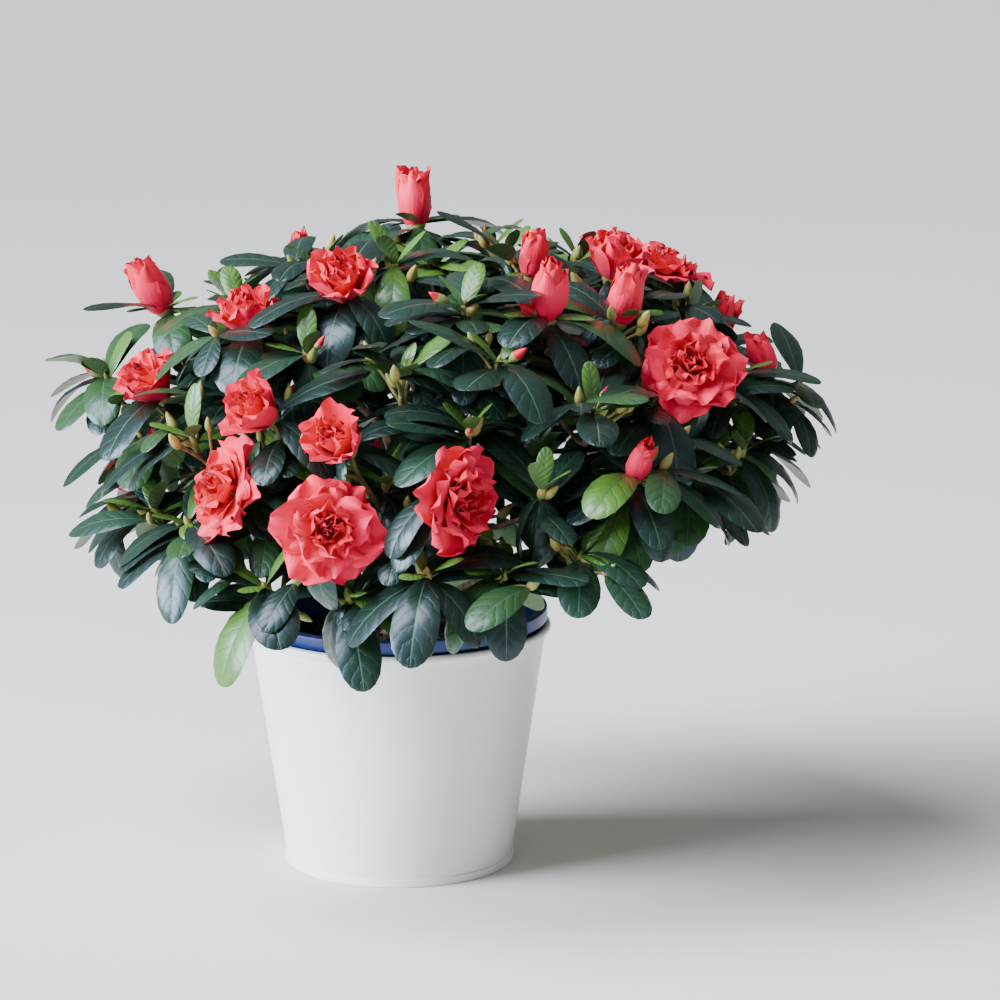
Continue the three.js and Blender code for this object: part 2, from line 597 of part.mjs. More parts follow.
const azalea = new THREE.Group();
function addPiece(name, geometry, material, parent = azalea) {
  const mesh = new THREE.Mesh(geometry, material);
  mesh.name = name;
  parent.add(mesh);
  mesh.updateMatrixWorld(true);
  return mesh;
}

azalea.add(pottedPlant);
const cachepot = addPiece("cachepot", cachepotGeometry(), enamel);
const nurseryPot = addPiece("nursery_pot", nurseryPotGeometry(), bluePlastic, pottedPlant);
const compost = addPiece("compost", compostGeometry(), compostBrown, pottedPlant);
const mainStem = addPiece("main_stem", limb(stemCurve, stemRadius, STEM_SIDES, STEM_STEPS), bark);
const fixed = [cachepot, nurseryPot, compost, mainStem];
for (const mass of masses) fixed.push(addPiece("bough_" + mass.name, growBough(mass), bark));

const worldSolid = (mesh) => solid(mesh.geometry.clone().applyMatrix4(mesh.matrixWorld));
const placed = fixed.map((mesh) => ({ made: worldSolid(mesh), mass: null }));
for (const mass of masses) {
  const twigs = [];
  const start = mass.tip.clone().addScaledVector(mass.arriving, SEAT_GAP);
  const stub = start.clone().addScaledVector(mass.arriving, TWIG_STUB);
  growTwigs([start, stub], TWIG_TIP_RADIUS * mass.shoots.length ** TWIG_THICKENING, mass.shoots, twigs);
  twigs[0].leads = true;
  for (const twig of twigs) placed.push({ made: twigSolid(twig), mass, shoot: twig.shoot });
  for (const shoot of mass.shoots) placed.push({ made: headSolid(shoot), mass, shoot });
}
for (const shoot of shoots) {
  growLeaves(shoot, shoot.mass, masses, placed);
}

// Each mass is joined into one body: scraps that hang loose are dropped, and edges too short to matter.
for (const mass of masses) {
  const pieces = placed.filter((piece) => piece.mass === mass).map((piece) => piece.made);
  const joined = wasm.Manifold.union(pieces);
  const whole = joined.decompose().reduce((best, body) => (body.volume() > best.volume() ? body : best));
  addPiece("foliage_" + mass.name, geometryOf(whole.simplify(SLIVER)), foliage);
}

export default azalea;
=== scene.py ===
import math
import bpy
from mathutils import Matrix, Quaternion, Vector, noise
from mathutils.bvhtree import BVHTree


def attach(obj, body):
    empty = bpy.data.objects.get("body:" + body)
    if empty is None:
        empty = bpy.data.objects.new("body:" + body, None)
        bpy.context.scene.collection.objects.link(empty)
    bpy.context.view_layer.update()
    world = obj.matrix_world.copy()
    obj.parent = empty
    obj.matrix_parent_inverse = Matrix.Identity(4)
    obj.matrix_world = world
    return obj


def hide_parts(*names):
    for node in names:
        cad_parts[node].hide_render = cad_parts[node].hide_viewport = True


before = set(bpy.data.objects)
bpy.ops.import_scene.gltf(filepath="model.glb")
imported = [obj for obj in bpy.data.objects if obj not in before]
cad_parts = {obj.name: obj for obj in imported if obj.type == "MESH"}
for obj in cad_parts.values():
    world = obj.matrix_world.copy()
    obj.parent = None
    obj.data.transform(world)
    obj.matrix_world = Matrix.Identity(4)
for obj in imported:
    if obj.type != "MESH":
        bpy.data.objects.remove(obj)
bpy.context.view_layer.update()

mm = 0.001


# Cachepot: a tapered can of thin steel sheet. Its wall is rolled outwards over a wire at the rim, folded
# into a double seam with the base at the foot, and closed by a flat lock seam down the back. It is stove
# enamelled soft white, inside and out.
CACHEPOT_HEIGHT = 121 * mm
CACHEPOT_RIM_RADIUS = 75.9 * mm
CACHEPOT_FOOT_RADIUS = 57.4 * mm
CACHEPOT_WALL = 1.1 * mm
CACHEPOT_FLOOR = 1.6 * mm
CACHEPOT_WALL_RINGS = 12
RIM_ROLL = 2 * mm
RIM_ROLL_TURN = (-60, 190)
FOOT_BEAD_HEIGHT = 4 * mm
FOOT_BEAD_PROUD = 0.8 * mm
FOOT_FOLD = 8 * mm
EDGE_ROUND = 0.6 * mm
LOCK_SEAM_WIDTH = 5 * mm
LOCK_SEAM_PROUD = 0.45 * mm
LOCK_SEAM_EDGE = 0.8 * mm
POT_SEGMENTS = 192
POT_SHARP_FROM = math.radians(50)


def linear(colour):
    """An sRGB hex colour as the linear one that a shader takes."""
    shares = [int(colour[i : i + 2], 16) / 255 for i in (0, 2, 4)]
    return [s / 12.92 if s <= 0.04045 else ((s + 0.055) / 1.055) ** 2.4 for s in shares] + [1.0]


def between(limits, share):
    return limits[0] + (limits[1] - limits[0]) * share


def add_node(tree, kind, inputs=(), feeds=None, **settings):
    """Adds a node. An output socket among its inputs is linked, and its first output can feed a socket."""
    node = tree.nodes.new(kind)
    for name, value in settings.items():
        setattr(node, name, value)
    for socket, value in dict(inputs).items():
        if isinstance(value, bpy.types.NodeSocket):
            tree.links.new(value, node.inputs[socket])
        else:
            node.inputs[socket].default_value = value
    if feeds is not None:
        tree.links.new(node.outputs[0], feeds)
    return node


def new_finish(name, colour, roughness, **constants):
    """A material with constants on its shader's own sockets. Returns it, its node tree and its shader."""
    finish = bpy.data.materials.new(name)
    finish.use_nodes = True
    shader = finish.node_tree.nodes["Principled BSDF"]
    shader.inputs["Base Color"].default_value = linear(colour)
    shader.inputs["Roughness"].default_value = roughness
    for socket, value in constants.items():
        shader.inputs[socket.replace("_", " ")].default_value = value
    return finish, finish.node_tree, shader


def smooth_finish(name, colour, roughness, cloud, gloss, grain, strength, **constants):
    """A smooth skin: its gloss drifts in clouds of one size, and a faint grain of another ripples it."""
    finish, tree, shader = new_finish(name, colour, roughness, **constants)
    place = add_node(tree, "ShaderNodeTexCoord").outputs["Object"]
    drift = add_node(tree, "ShaderNodeTexNoise", {"Vector": place, "Scale": 1 / cloud}).outputs["Fac"]
    levels = {"Value": drift, "To Min": gloss[0], "To Max": gloss[1]}
    add_node(tree, "ShaderNodeMapRange", levels, shader.inputs["Roughness"])
    ripple = add_node(tree, "ShaderNodeTexNoise", {"Vector": place, "Scale": 1 / grain}).outputs["Fac"]
    relief = {"Height": ripple, "Strength": strength, "Distance": 0.05 * mm}
    add_node(tree, "ShaderNodeBump", relief, shader.inputs["Normal"])
    return finish


def add_object(name, data):
    made = bpy.data.objects.new(name, data)
    bpy.context.scene.collection.objects.link(made)
    return made


def place_mesh(name, points, faces, finishes, face_finishes=None):
    """A piece with its place in its mesh, from points in metres and faces by index."""
    mesh = bpy.data.meshes.new(name)
    mesh.from_pydata(points, [], faces)
    for finish in finishes:
        mesh.materials.append(finish)
    if face_finishes is not None:
        mesh.polygons.foreach_set("material_index", face_finishes)
    mesh.polygons.foreach_set("use_smooth", [True] * len(mesh.polygons))
    mesh.update()
    return add_object(name, mesh)


def arc(middle, radius, start, end, steps):
    """Points (radius, height) on a round corner, by angles in degrees from the horizontal."""
    angles = [math.radians(start + (end - start) * i / steps) for i in range(steps + 1)]
    return [(middle[0] + radius * math.cos(a), middle[1] + radius * math.sin(a)) for a in angles]


def turn_on_lathe(outline, segments, swell=lambda angle, height: 0.0):
    """Points and faces of an outline of (radius, height) turned about +Z. Its ends lie on the axis."""
    points = [Vector((0, 0, outline[0][1]))]
    for radius, height in outline[1:-1]:
        for i in range(segments):
            angle = 2 * math.pi * i / segments
            r = radius + swell(angle, height)
            points.append(Vector((r * math.cos(angle), r * math.sin(angle), height)))
    points.append(Vector((0, 0, outline[-1][1])))
    last = len(points) - 1
    faces = []
    for i in range(segments):
        j = (i + 1) % segments
        faces.append((0, 1 + j, 1 + i))
        for low in range(1, last - segments, segments):
            faces.append((low + i, low + j, low + segments + j, low + segments + i))
        faces.append((last, last - segments + i, last - segments + j))
    return points, faces


def cachepot_outline():
    seam = CACHEPOT_FOOT_RADIUS - FOOT_BEAD_PROUD
    roll_middle = (CACHEPOT_RIM_RADIUS - RIM_ROLL, CACHEPOT_HEIGHT - RIM_ROLL)
    inner = seam - CACHEPOT_WALL
    corner = CACHEPOT_FOOT_RADIUS - EDGE_ROUND
    outline = [(0, 0), (corner - FOOT_FOLD, 0)]
    outline += arc((corner, EDGE_ROUND), EDGE_ROUND, -90, 0, 4)
    outline += arc((corner, FOOT_BEAD_HEIGHT - EDGE_ROUND), EDGE_ROUND, 0, 90, 4)
    for ring in range(CACHEPOT_WALL_RINGS + 1):
        share = ring / CACHEPOT_WALL_RINGS
        radius = between((seam, roll_middle[0] - EDGE_ROUND), share)
        outline.append((radius, between((FOOT_BEAD_HEIGHT, roll_middle[1] - RIM_ROLL), share)))
    outline += arc(roll_middle, RIM_ROLL, *RIM_ROLL_TURN, 14)
    outline += [(inner, FOOT_BEAD_HEIGHT), (inner - EDGE_ROUND, CACHEPOT_FLOOR), (0, CACHEPOT_FLOOR)]
    return outline


def lock_seam(angle, height):
    """How far the folded seam stands out of the back of the wall, between the foot bead and the rim."""
    if not FOOT_BEAD_HEIGHT < height < CACHEPOT_HEIGHT - 2 * RIM_ROLL:
        return 0.0
    across = abs(angle - math.pi / 2) * CACHEPOT_RIM_RADIUS
    return LOCK_SEAM_PROUD * max(0.0, min(1.0, (LOCK_SEAM_WIDTH / 2 - across) / LOCK_SEAM_EDGE + 0.5))


# Stove enamel on steel: satin, with a faint orange peel and a gloss that varies a little.
coat = {"Coat_Weight": 0.25, "Coat_Roughness": 0.2}
enamel = smooth_finish("satin_white_enamel", "f3f2ee", 0.34, 22 * mm, (0.28, 0.42), 1.6 * mm, 0.12, **coat)
points, faces = turn_on_lathe(cachepot_outline(), POT_SEGMENTS, lock_seam)
cachepot = place_mesh("cachepot_shell", points, faces, [enamel])
cachepot.data.set_sharp_from_angle(angle=POT_SHARP_FROM)
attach(cachepot, "root")
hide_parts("cachepot")


# Nursery pot: thin polypropylene, moulded, with a plain band round its rim. It stands loose in the
# cachepot, pushed to the right and tipped, so that its band shows all round and overhangs at the right.
NURSERY_HEIGHT = 124.6 * mm
NURSERY_RIM_RADIUS = 71.8 * mm
NURSERY_RIM_BAND = 6.4 * mm
NURSERY_BAND_FOOT = NURSERY_HEIGHT - NURSERY_RIM_BAND
NURSERY_TOP_RADIUS = 68 * mm
NURSERY_BASE_RADIUS = 49 * mm
NURSERY_WALL = 1.2 * mm
NURSERY_SHIFT = 2.2 * mm
NURSERY_TILT = math.radians(1.4)
SEAT_GAP = 0.3 * mm

tilt_rise = math.sin(NURSERY_TILT)
pot_shift = NURSERY_SHIFT + NURSERY_HEIGHT * tilt_rise
pot_seat = CACHEPOT_FLOOR + SEAT_GAP + NURSERY_BASE_RADIUS * tilt_rise
pot_place = Matrix.Translation((pot_shift, 0, pot_seat)) @ Matrix.Rotation(-NURSERY_TILT, 4, "Y")


def nursery_outline():
    inner = NURSERY_TOP_RADIUS - NURSERY_WALL
    lip = NURSERY_RIM_RADIUS - EDGE_ROUND
    outline = [(0, 0), (NURSERY_BASE_RADIUS, 0), (NURSERY_TOP_RADIUS, NURSERY_BAND_FOOT)]
    outline += arc((lip, NURSERY_BAND_FOOT + EDGE_ROUND), EDGE_ROUND, -90, 0, 3)
    outline += arc((lip, NURSERY_HEIGHT - EDGE_ROUND), EDGE_ROUND, 0, 90, 5)
    outline += arc((inner + EDGE_ROUND, NURSERY_HEIGHT - EDGE_ROUND), EDGE_ROUND, 90, 180, 5)
    outline += [(inner, NURSERY_BAND_FOOT), (NURSERY_BASE_RADIUS - NURSERY_WALL, NURSERY_WALL)]
    return outline + [(0, NURSERY_WALL)]


# Moulded polypropylene: half gloss, with the faint cloudiness of reground plastic.
plastic = smooth_finish("blue_polypropylene", "132c6e", 0.36, 9 * mm, (0.3, 0.48), 0.9 * mm, 0.2)
points, faces = turn_on_lathe(nursery_outline(), POT_SEGMENTS)
nursery_pot = place_mesh("nursery_pot_shell", [pot_place @ p for p in points], faces, [plastic])
nursery_pot.data.set_sharp_from_angle(angle=POT_SHARP_FROM)
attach(nursery_pot, "root")
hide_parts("nursery_pot")


# Compost: moist peat and fine bark, filled into the pot and settled below its rim, a little higher at
# the stem. Loose crumbs lie on it; each is a lump of peat a few millimetres across.
COMPOST_LEVEL = NURSERY_HEIGHT - 15 * mm
COMPOST_CROWN = 3 * mm
COMPOST_GAP = 0.6 * mm
COMPOST_RINGS = 22
COMPOST_SEGMENTS = 96
LUMP_HEIGHT = 1.1 * mm
LUMP_WIDTH = 5 * mm
SMALL_LUMP_WIDTH = 2 * mm
STEM_FLARE_RADIUS = 11.5 * mm
CRUMB_GROUND_RISE = 0.6
CRUMB_SIZES = ((0.4, 0.35, 0.3), (1.6, 1.2, 0.8))
CRUMB_TURNS = ((-0.6, -0.6, 0.0), (0.6, 0.6, 6.28))
CRUMB_VALUES = {"Density": 90000.0, "Crumb Size": 1.5 * mm, "Seed": 7}


def nursery_inner_radius(height):
    share = min(1, max(0, (height - NURSERY_WALL) / (NURSERY_BAND_FOOT - NURSERY_WALL)))
    base = NURSERY_BASE_RADIUS - NURSERY_WALL
    return base + share * (NURSERY_TOP_RADIUS - NURSERY_WALL - base)


def compost_outline():
    """The filling's side and its top, in rings close enough together for the lumps."""
    floor = NURSERY_WALL + SEAT_GAP
    edge = nursery_inner_radius(COMPOST_LEVEL) - COMPOST_GAP
    outline = [(0, floor), (nursery_inner_radius(floor) - COMPOST_GAP, floor), (edge, COMPOST_LEVEL)]
    for ring in range(1, COMPOST_RINGS):
        radius = edge * (1 - ring / COMPOST_RINGS)
        share = min(1, max(0, (edge - radius) / (edge - STEM_FLARE_RADIUS * 1.2)))
        outline.append((radius, COMPOST_LEVEL + COMPOST_CROWN * share**1.3))
    return outline + [(0, COMPOST_LEVEL + COMPOST_CROWN)]


def mottled_finish(name, colour, roughness, grain, detail, tones, relief=None):
    """A matt skin mottled from a dark to a pale tone, by its grain's size along X, Y and Z.

    The tones are their places in the noise and their colours; the relief is its strength and depth.
    """
    finish, tree, shader = new_finish(name, colour, roughness)
    place = add_node(tree, "ShaderNodeTexCoord").outputs["Object"]
    scaled = add_node(tree, "ShaderNodeMapping", {"Vector": place, "Scale": [1 / size for size in grain]})
    pattern = {"Vector": scaled.outputs["Vector"], "Scale": 1, "Detail": detail}
    mottle = add_node(tree, "ShaderNodeTexNoise", pattern).outputs["Fac"]
    tint = add_node(tree, "ShaderNodeValToRGB", {"Fac": mottle}, shader.inputs["Base Color"])
    for stop, (position, tone) in zip(tint.color_ramp.elements, tones):
        stop.position, stop.color = position, linear(tone)
    if relief:
        height = {"Height": mottle, "Strength": relief[0], "Distance": relief[1]}
        add_node(tree, "ShaderNodeBump", height, shader.inputs["Normal"])
    return finish


def new_tree(name, inputs, made):
    """A geometry-node tree with its inputs by name and kind and one output. Returns it and its inputs."""
    tree = bpy.data.node_groups.new(name, "GeometryNodeTree")
    for socket, kind in inputs.items():
        tree.interface.new_socket(socket, in_out="INPUT", socket_type="NodeSocket" + kind)
    tree.interface.new_socket(made, in_out="OUTPUT", socket_type="NodeSocketGeometry")
    return tree, add_node(tree, "NodeGroupInput").outputs


def end_tree(tree, instances, finish, made):
    """The end that each tree here has: its instances are made real, given their finish and handed out."""
    real = add_node(tree, "GeometryNodeRealizeInstances", {"Geometry": instances}).outputs["Geometry"]
    done = add_node(tree, "GeometryNodeSetMaterial", {"Geometry": real, "Material": finish})
    add_node(tree, "NodeGroupOutput", {made: done.outputs["Geometry"]})
    return tree


def crumbs_tree(finish):
    """Geometry nodes: lumps of mixed size scattered on a surface, each squashed and turned its own way."""
    kinds = {"Surface": "Geometry", "Density": "Float", "Crumb Size": "Float", "Seed": "Int"}
    tree, given = new_tree("peat_crumbs", kinds, "Crumbs")
    upward = add_node(tree, "GeometryNodeInputNormal").outputs["Normal"]
    rise = add_node(tree, "ShaderNodeSeparateXYZ", {"Vector": upward}).outputs["Z"]
    steepest = {"A": rise, "B": CRUMB_GROUND_RISE}
    settings = {"data_type": "FLOAT", "operation": "GREATER_THAN"}
    faces_up = add_node(tree, "FunctionNodeCompare", steepest, **settings).outputs["Result"]
    where = {"Mesh": given["Surface"], "Selection": faces_up, "Density": given["Density"]}
    where["Seed"] = given["Seed"]
    spots = add_node(tree, "GeometryNodeDistributePointsOnFaces", where).outputs["Points"]
    shape = {"Radius": given["Crumb Size"], "Subdivisions": 1}
    lump = add_node(tree, "GeometryNodeMeshIcoSphere", shape).outputs["Mesh"]
    sizes = {0: CRUMB_SIZES[0], 1: CRUMB_SIZES[1], "Seed": given["Seed"]}
    size = add_node(tree, "FunctionNodeRandomValue", sizes, data_type="FLOAT_VECTOR").outputs["Value"]
    turns = {0: CRUMB_TURNS[0], 1: CRUMB_TURNS[1], "Seed": given["Seed"]}
    turn = add_node(tree, "FunctionNodeRandomValue", turns, data_type="FLOAT_VECTOR").outputs["Value"]
    strewn = {"Points": spots, "Instance": lump, "Scale": size, "Rotation": turn}
    crumbs = add_node(tree, "GeometryNodeInstanceOnPoints", strewn).outputs["Instances"]
    return end_tree(tree, crumbs, finish, "Crumbs")


def grow_with_nodes(name, surface, tree, values, finish):
    """Runs a geometry-node tree on a mesh and returns what it makes as a plain mesh piece."""
    carrier = add_object(name + "_carrier", surface)
    modifier = carrier.modifiers.new(name, "NODES")
    modifier.node_group = tree
    for item in tree.interface.items_tree:
        if item.name in values:
            modifier[item.identifier] = values[item.name]
    evaluated = carrier.evaluated_get(bpy.context.evaluated_depsgraph_get())
    made = bpy.data.meshes.new_from_object(evaluated)
    carrier.modifiers.remove(modifier)
    bpy.data.objects.remove(carrier)
    made.name = name
    if finish.name not in made.materials:
        made.materials.clear()
        made.materials.append(finish)
    return add_object(name, made)


# Moist peat: near black brown, matt, in specks of darker and paler fibre about 2 mm across.
PEAT_TONES = ((0.36, "1a1512"), (0.72, "544233"))
peat = mottled_finish("moist_peat", "30261f", 0.95, (2 * mm,) * 3, 5, PEAT_TONES, (0.7, 0.8 * mm))
points, faces = turn_on_lathe(compost_outline(), COMPOST_SEGMENTS)
for point in points:
    if point.z > COMPOST_LEVEL - 1 * mm:
        lumps = noise.noise(point / LUMP_WIDTH) + 0.6 * noise.noise(point / SMALL_LUMP_WIDTH)
        point.z += LUMP_HEIGHT * lumps
compost = place_mesh("compost_filling", [pot_place @ p for p in points], faces, [peat])
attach(compost, "root")
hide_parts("compost")

crumbs = grow_with_nodes("compost_crumbs", compost.data, crumbs_tree(peat), CRUMB_VALUES, peat)
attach(crumbs, "root")


# Main stem: one short trunk, flat at the compost and flared there into the tops of its roots, leaning to
# the right as it rises. Its bark is grey brown, thin and fissured along the wood.
STEM_HEIGHT = 34 * mm
STEM_LEAN = (7 * mm, -2 * mm)
STEM_RADIUS = 6.4 * mm
STEM_TIP_RADIUS = 4.2 * mm
STEM_FLARE_SHARE = 0.34
STEM_TIP_BEARING = -15
STEM_TIP_LIFT = 76
STEM_SIDES = 48
STEM_RINGS = 44
ROOT_TOPS = 5
ROOT_SWELL = 0.13
ROOT_TURN = 0.7
BARK_RELIEF = 0.55 * mm
FISSURE_LENGTH = 9 * mm
FINE_FISSURE_LENGTH = 3.5 * mm
FISSURES_ROUND = 3.2
FINE_FISSURES_ROUND = 8
FIRST_ACROSS = (0.3, 0.9, 0.2)
UP = Vector((0, 0, 1))


def direction(bearing, lift):
    """A unit vector from its bearing round +Z and its lift above the level, in degrees."""
    level = math.cos(math.radians(lift))
    bearing = math.radians(bearing)
    return Vector((level * math.cos(bearing), level * math.sin(bearing), math.sin(math.radians(lift))))


def smooth_run(start, leaving, end, arriving, ease=0.36):
    """A cubic run between two points: a function that gives the point at a share from 0 to 1."""
    hold = (end - start).length * ease
    first = start + leaving * hold
    second = end - arriving * hold

    def point_at(t):
        s = 1 - t
        return start * s**3 + first * (3 * s * s * t) + second * (3 * s * t * t) + end * t**3

    return point_at


def tangent_at(point_at, t):
    near = max(0.0, t - 0.01)
    return (point_at(min(1.0, t + 0.01)) - point_at(near)).normalized()


def wall_faces(sides, rings):
    faces = []
    for low in range(0, rings * sides, sides):
        for i in range(sides):
            j = (i + 1) % sides
            faces.append((low + i, low + j, low + sides + j, low + sides + i))
    return faces


def limb(point_at, radius_at, sides, rings):
    """Points and faces of a closed limb: rings square to its run, by its radius at a share and angle."""
    across = Vector(FIRST_ACROSS)
    points = []
    for ring in range(rings + 1):
        along = ring / rings
        middle, tangent = point_at(along), tangent_at(point_at, along)
        across = (across - tangent * across.dot(tangent)).normalized()
        beside = tangent.cross(across)
        for i in range(sides):
            angle = 2 * math.pi * i / sides
            out = across * math.cos(angle) + beside * math.sin(angle)
            points.append(middle + out * radius_at(along, angle, middle))
    ends = [tuple(reversed(range(sides))), tuple(rings * sides + i for i in range(sides))]
    return points, wall_faces(sides, rings) + ends


def bark_radius(radius_at, relief, seed):
    """A limb's radius with its bark fissured along it. Only the main stem, seed 0, swells into roots."""

    def rough_radius(along, angle, middle):
        x, y = math.cos(angle) * FISSURES_ROUND, math.sin(angle) * FISSURES_ROUND
        fissure = noise.noise(Vector((x, y, middle.z / FISSURE_LENGTH + seed)))
        x, y = math.cos(angle) * FINE_FISSURES_ROUND, math.sin(angle) * FINE_FISSURES_ROUND
        fine = noise.noise(Vector((x, y, middle.z / FINE_FISSURE_LENGTH + seed)))
        swell = 0.0
        if not seed and along <= STEM_FLARE_SHARE:
            swell = ROOT_SWELL * (1 - along / STEM_FLARE_SHARE) * math.cos(ROOT_TOPS * angle + ROOT_TURN)
        return radius_at(along) * (1 + swell) + relief * (0.5 * fine - abs(fissure) * 1.6)

    return rough_radius


def stem_radius(along):
    flare = (STEM_FLARE_RADIUS - STEM_RADIUS) * max(0, 1 - along / STEM_FLARE_SHARE) ** 2
    return flare + between((STEM_RADIUS, STEM_TIP_RADIUS), along)


pot_axis = pot_place.to_3x3() @ UP
stem_foot = pot_place @ Vector((0, 0, COMPOST_LEVEL + COMPOST_CROWN + SEAT_GAP))
stem_tip = stem_foot + Vector((*STEM_LEAN, STEM_HEIGHT))
stem_run = smooth_run(stem_foot, pot_axis, stem_tip, direction(STEM_TIP_BEARING, STEM_TIP_LIFT))

# Azalea bark: grey brown, matt, its fissures darker, with paler flakes some 4 mm long.
BARK_TONES = ((0.34, "46382c"), (0.7, "93806a"))
BARK_FLAKE = (1.2 * mm, 1.2 * mm, 4 * mm)
bark = mottled_finish("azalea_bark", "7a6450", 0.88, BARK_FLAKE, 6, BARK_TONES, (0.8, 0.4 * mm))
points, faces = limb(stem_run, bark_radius(stem_radius, BARK_RELIEF, 0), STEM_SIDES, STEM_RINGS)
for i in range(STEM_SIDES):
    points[i] -= pot_axis * (points[i] - stem_foot).dot(pot_axis)
main_stem = place_mesh("main_stem_bark", points, faces, [bark])
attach(main_stem, "root")
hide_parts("main_stem")


# Boughs: thirteen limbs that spring from the stem in whorls and rise to the foot of their mass of
# foliage, eight to the low ring, four to the high ring and one to the top. They have the stem's bark.
BOUGH_ROOT_RADIUS = 2.7 * mm
BOUGH_TIP_RADIUS = 2 * mm
BOUGH_START_RISE = 0.2
BOUGH_END_RISE = 0.5
BOUGH_SIDES = 14
BOUGH_RINGS = 30
BOUGH_RELIEF = 0.22 * mm
CROWN_MIDDLE = Vector((25 * mm, 0, 183 * mm))
CROWN_WIDTH = 152 * mm
CROWN_DEPTH = 150 * mm
CROWN_RISE = 118 * mm
CROWN_DROP = 70 * mm
CROWN_BLUNTNESS = 2.6
# Each ring's prefix and masses, the bearing of the first, their lift, their boughs' drop and reach, and how
# far up the stem those spring from.
LOW_MASSES = ("right", "back_right", "back", "back_left", "left", "front_left", "front", "front_right")
RINGS = (
    ("low_", LOW_MASSES, 0, 6, 14, 0.52, (0.4, 0.56)),
    ("high_", ("right", "back", "left", "front"), 22, 47, 0, 0.36, (0.7, 0.8)),
    ("", ("top",), 0, 88, 0, 0.34, (1,)),
)


def dome_point(bearing, lift, reach):
    """The point of the crown's dome in a direction, at a share of the way out to it."""
    along = direction(bearing, lift)
    level = math.hypot(along.x / CROWN_WIDTH, along.y / CROWN_DEPTH)
    upright = abs(along.z) / (CROWN_RISE if along.z > 0 else CROWN_DROP)
    size = (level**CROWN_BLUNTNESS + upright**CROWN_BLUNTNESS) ** (-1 / CROWN_BLUNTNESS)
    return along * (size * reach) + CROWN_MIDDLE


class Mass:
    """A mass of foliage: the direction it leans from the crown's middle, its bough's tip, its shoots."""

    def __init__(self, name, bearing, lift, drop, reach, whorl):
        self.name = name
        self.whorl = whorl
        self.lean = direction(bearing, lift)
        self.tip = dome_point(bearing, lift - drop, reach)
        self.arriving = (self.lean + UP * BOUGH_END_RISE).normalized()
        self.shoots = []


def bough_run(mass):
    """A bough springs from the stem's heart and arrives at the foot of its mass."""
    start = stem_run(mass.whorl)
    out = mass.tip - start
    out.z = 0
    on_top = mass.whorl == 1
    leaving = tangent_at(stem_run, 1) if on_top else (out.normalized() + UP * BOUGH_START_RISE).normalized()
    return smooth_run(start, leaving, mass.tip, mass.arriving)


def bough_radius(along):
    return between((BOUGH_ROOT_RADIUS, BOUGH_TIP_RADIUS), along)


class JoinedMesh:
    """Many like shapes gathered into the arrays of one mesh, each face with its finish."""

    def __init__(self):
        self.points, self.faces, self.finishes, self.places = [], [], [], []

    def add(self, points, faces, finishes, places=None):
        first = len(self.points)
        self.points += points
        self.faces += [tuple(first + i for i in face) for face in faces]
        self.finishes += finishes
        self.places += places or [(0.0, 0.0)] * len(points)

    def piece(self, name, finishes, sharp_from=None):
        made = place_mesh(name, self.points, self.faces, finishes, self.finishes)
        across = made.data.uv_layers.new(name="blade")
        corners = [self.places[i] for face in self.faces for i in face]
        across.data.foreach_set("uv", [value for corner in corners for value in corner])
        if sharp_from:
            made.data.set_sharp_from_angle(angle=math.radians(sharp_from))
        return made


masses = []
for ring, names, first_bearing, lift, drop, reach, whorls in RINGS:
    for index, name in enumerate(names):
        bearing = index * 360 / len(names) + first_bearing
        masses.append(Mass(ring + name, bearing, lift, drop, reach, whorls[index % len(whorls)]))
all_boughs = JoinedMesh()
for seed, mass in enumerate(masses, 1):
    radius_at = bark_radius(bough_radius, BOUGH_RELIEF, seed)
    points, faces = limb(bough_run(mass), radius_at, BOUGH_SIDES, BOUGH_RINGS)
    all_boughs.add(points, faces, [0] * len(faces))
boughs = place_mesh("boughs_bark", all_boughs.points, all_boughs.faces, [bark])
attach(boughs, "root")
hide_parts(*("bough_" + mass.name for mass in masses))


# Shoots: the points on the crown's dome where twigs end, each in a leaf bud, a flower bud, a half-open
# flower or a full one. Those that face the front have their own places, and the others are sown.
SKIRT_HEIGHT = 158 * mm
SKIRT_FLAT = 60 * mm
SKIRT_RISE_RIGHT = 0.42
SKIRT_RISE_LEFT = 0.3
SHOOT_COUNT = 84
SHOOT_TRIES = 6000
SHOOT_SPACING = 37 * mm
SHOOT_REACH = (0.93, 1.02)
SHOOT_OUTWARD = 0.5
SHOOT_UPWARD = 0.8
LOWEST_LIFT = -12
FLOWERS_BEHIND = 25 * mm
FLOWERS_BELOW = 50
HEAD_CHANCES = (("bloom", 0.2), ("rose", 0.38), ("bud", 0.65), ("tip", 1))

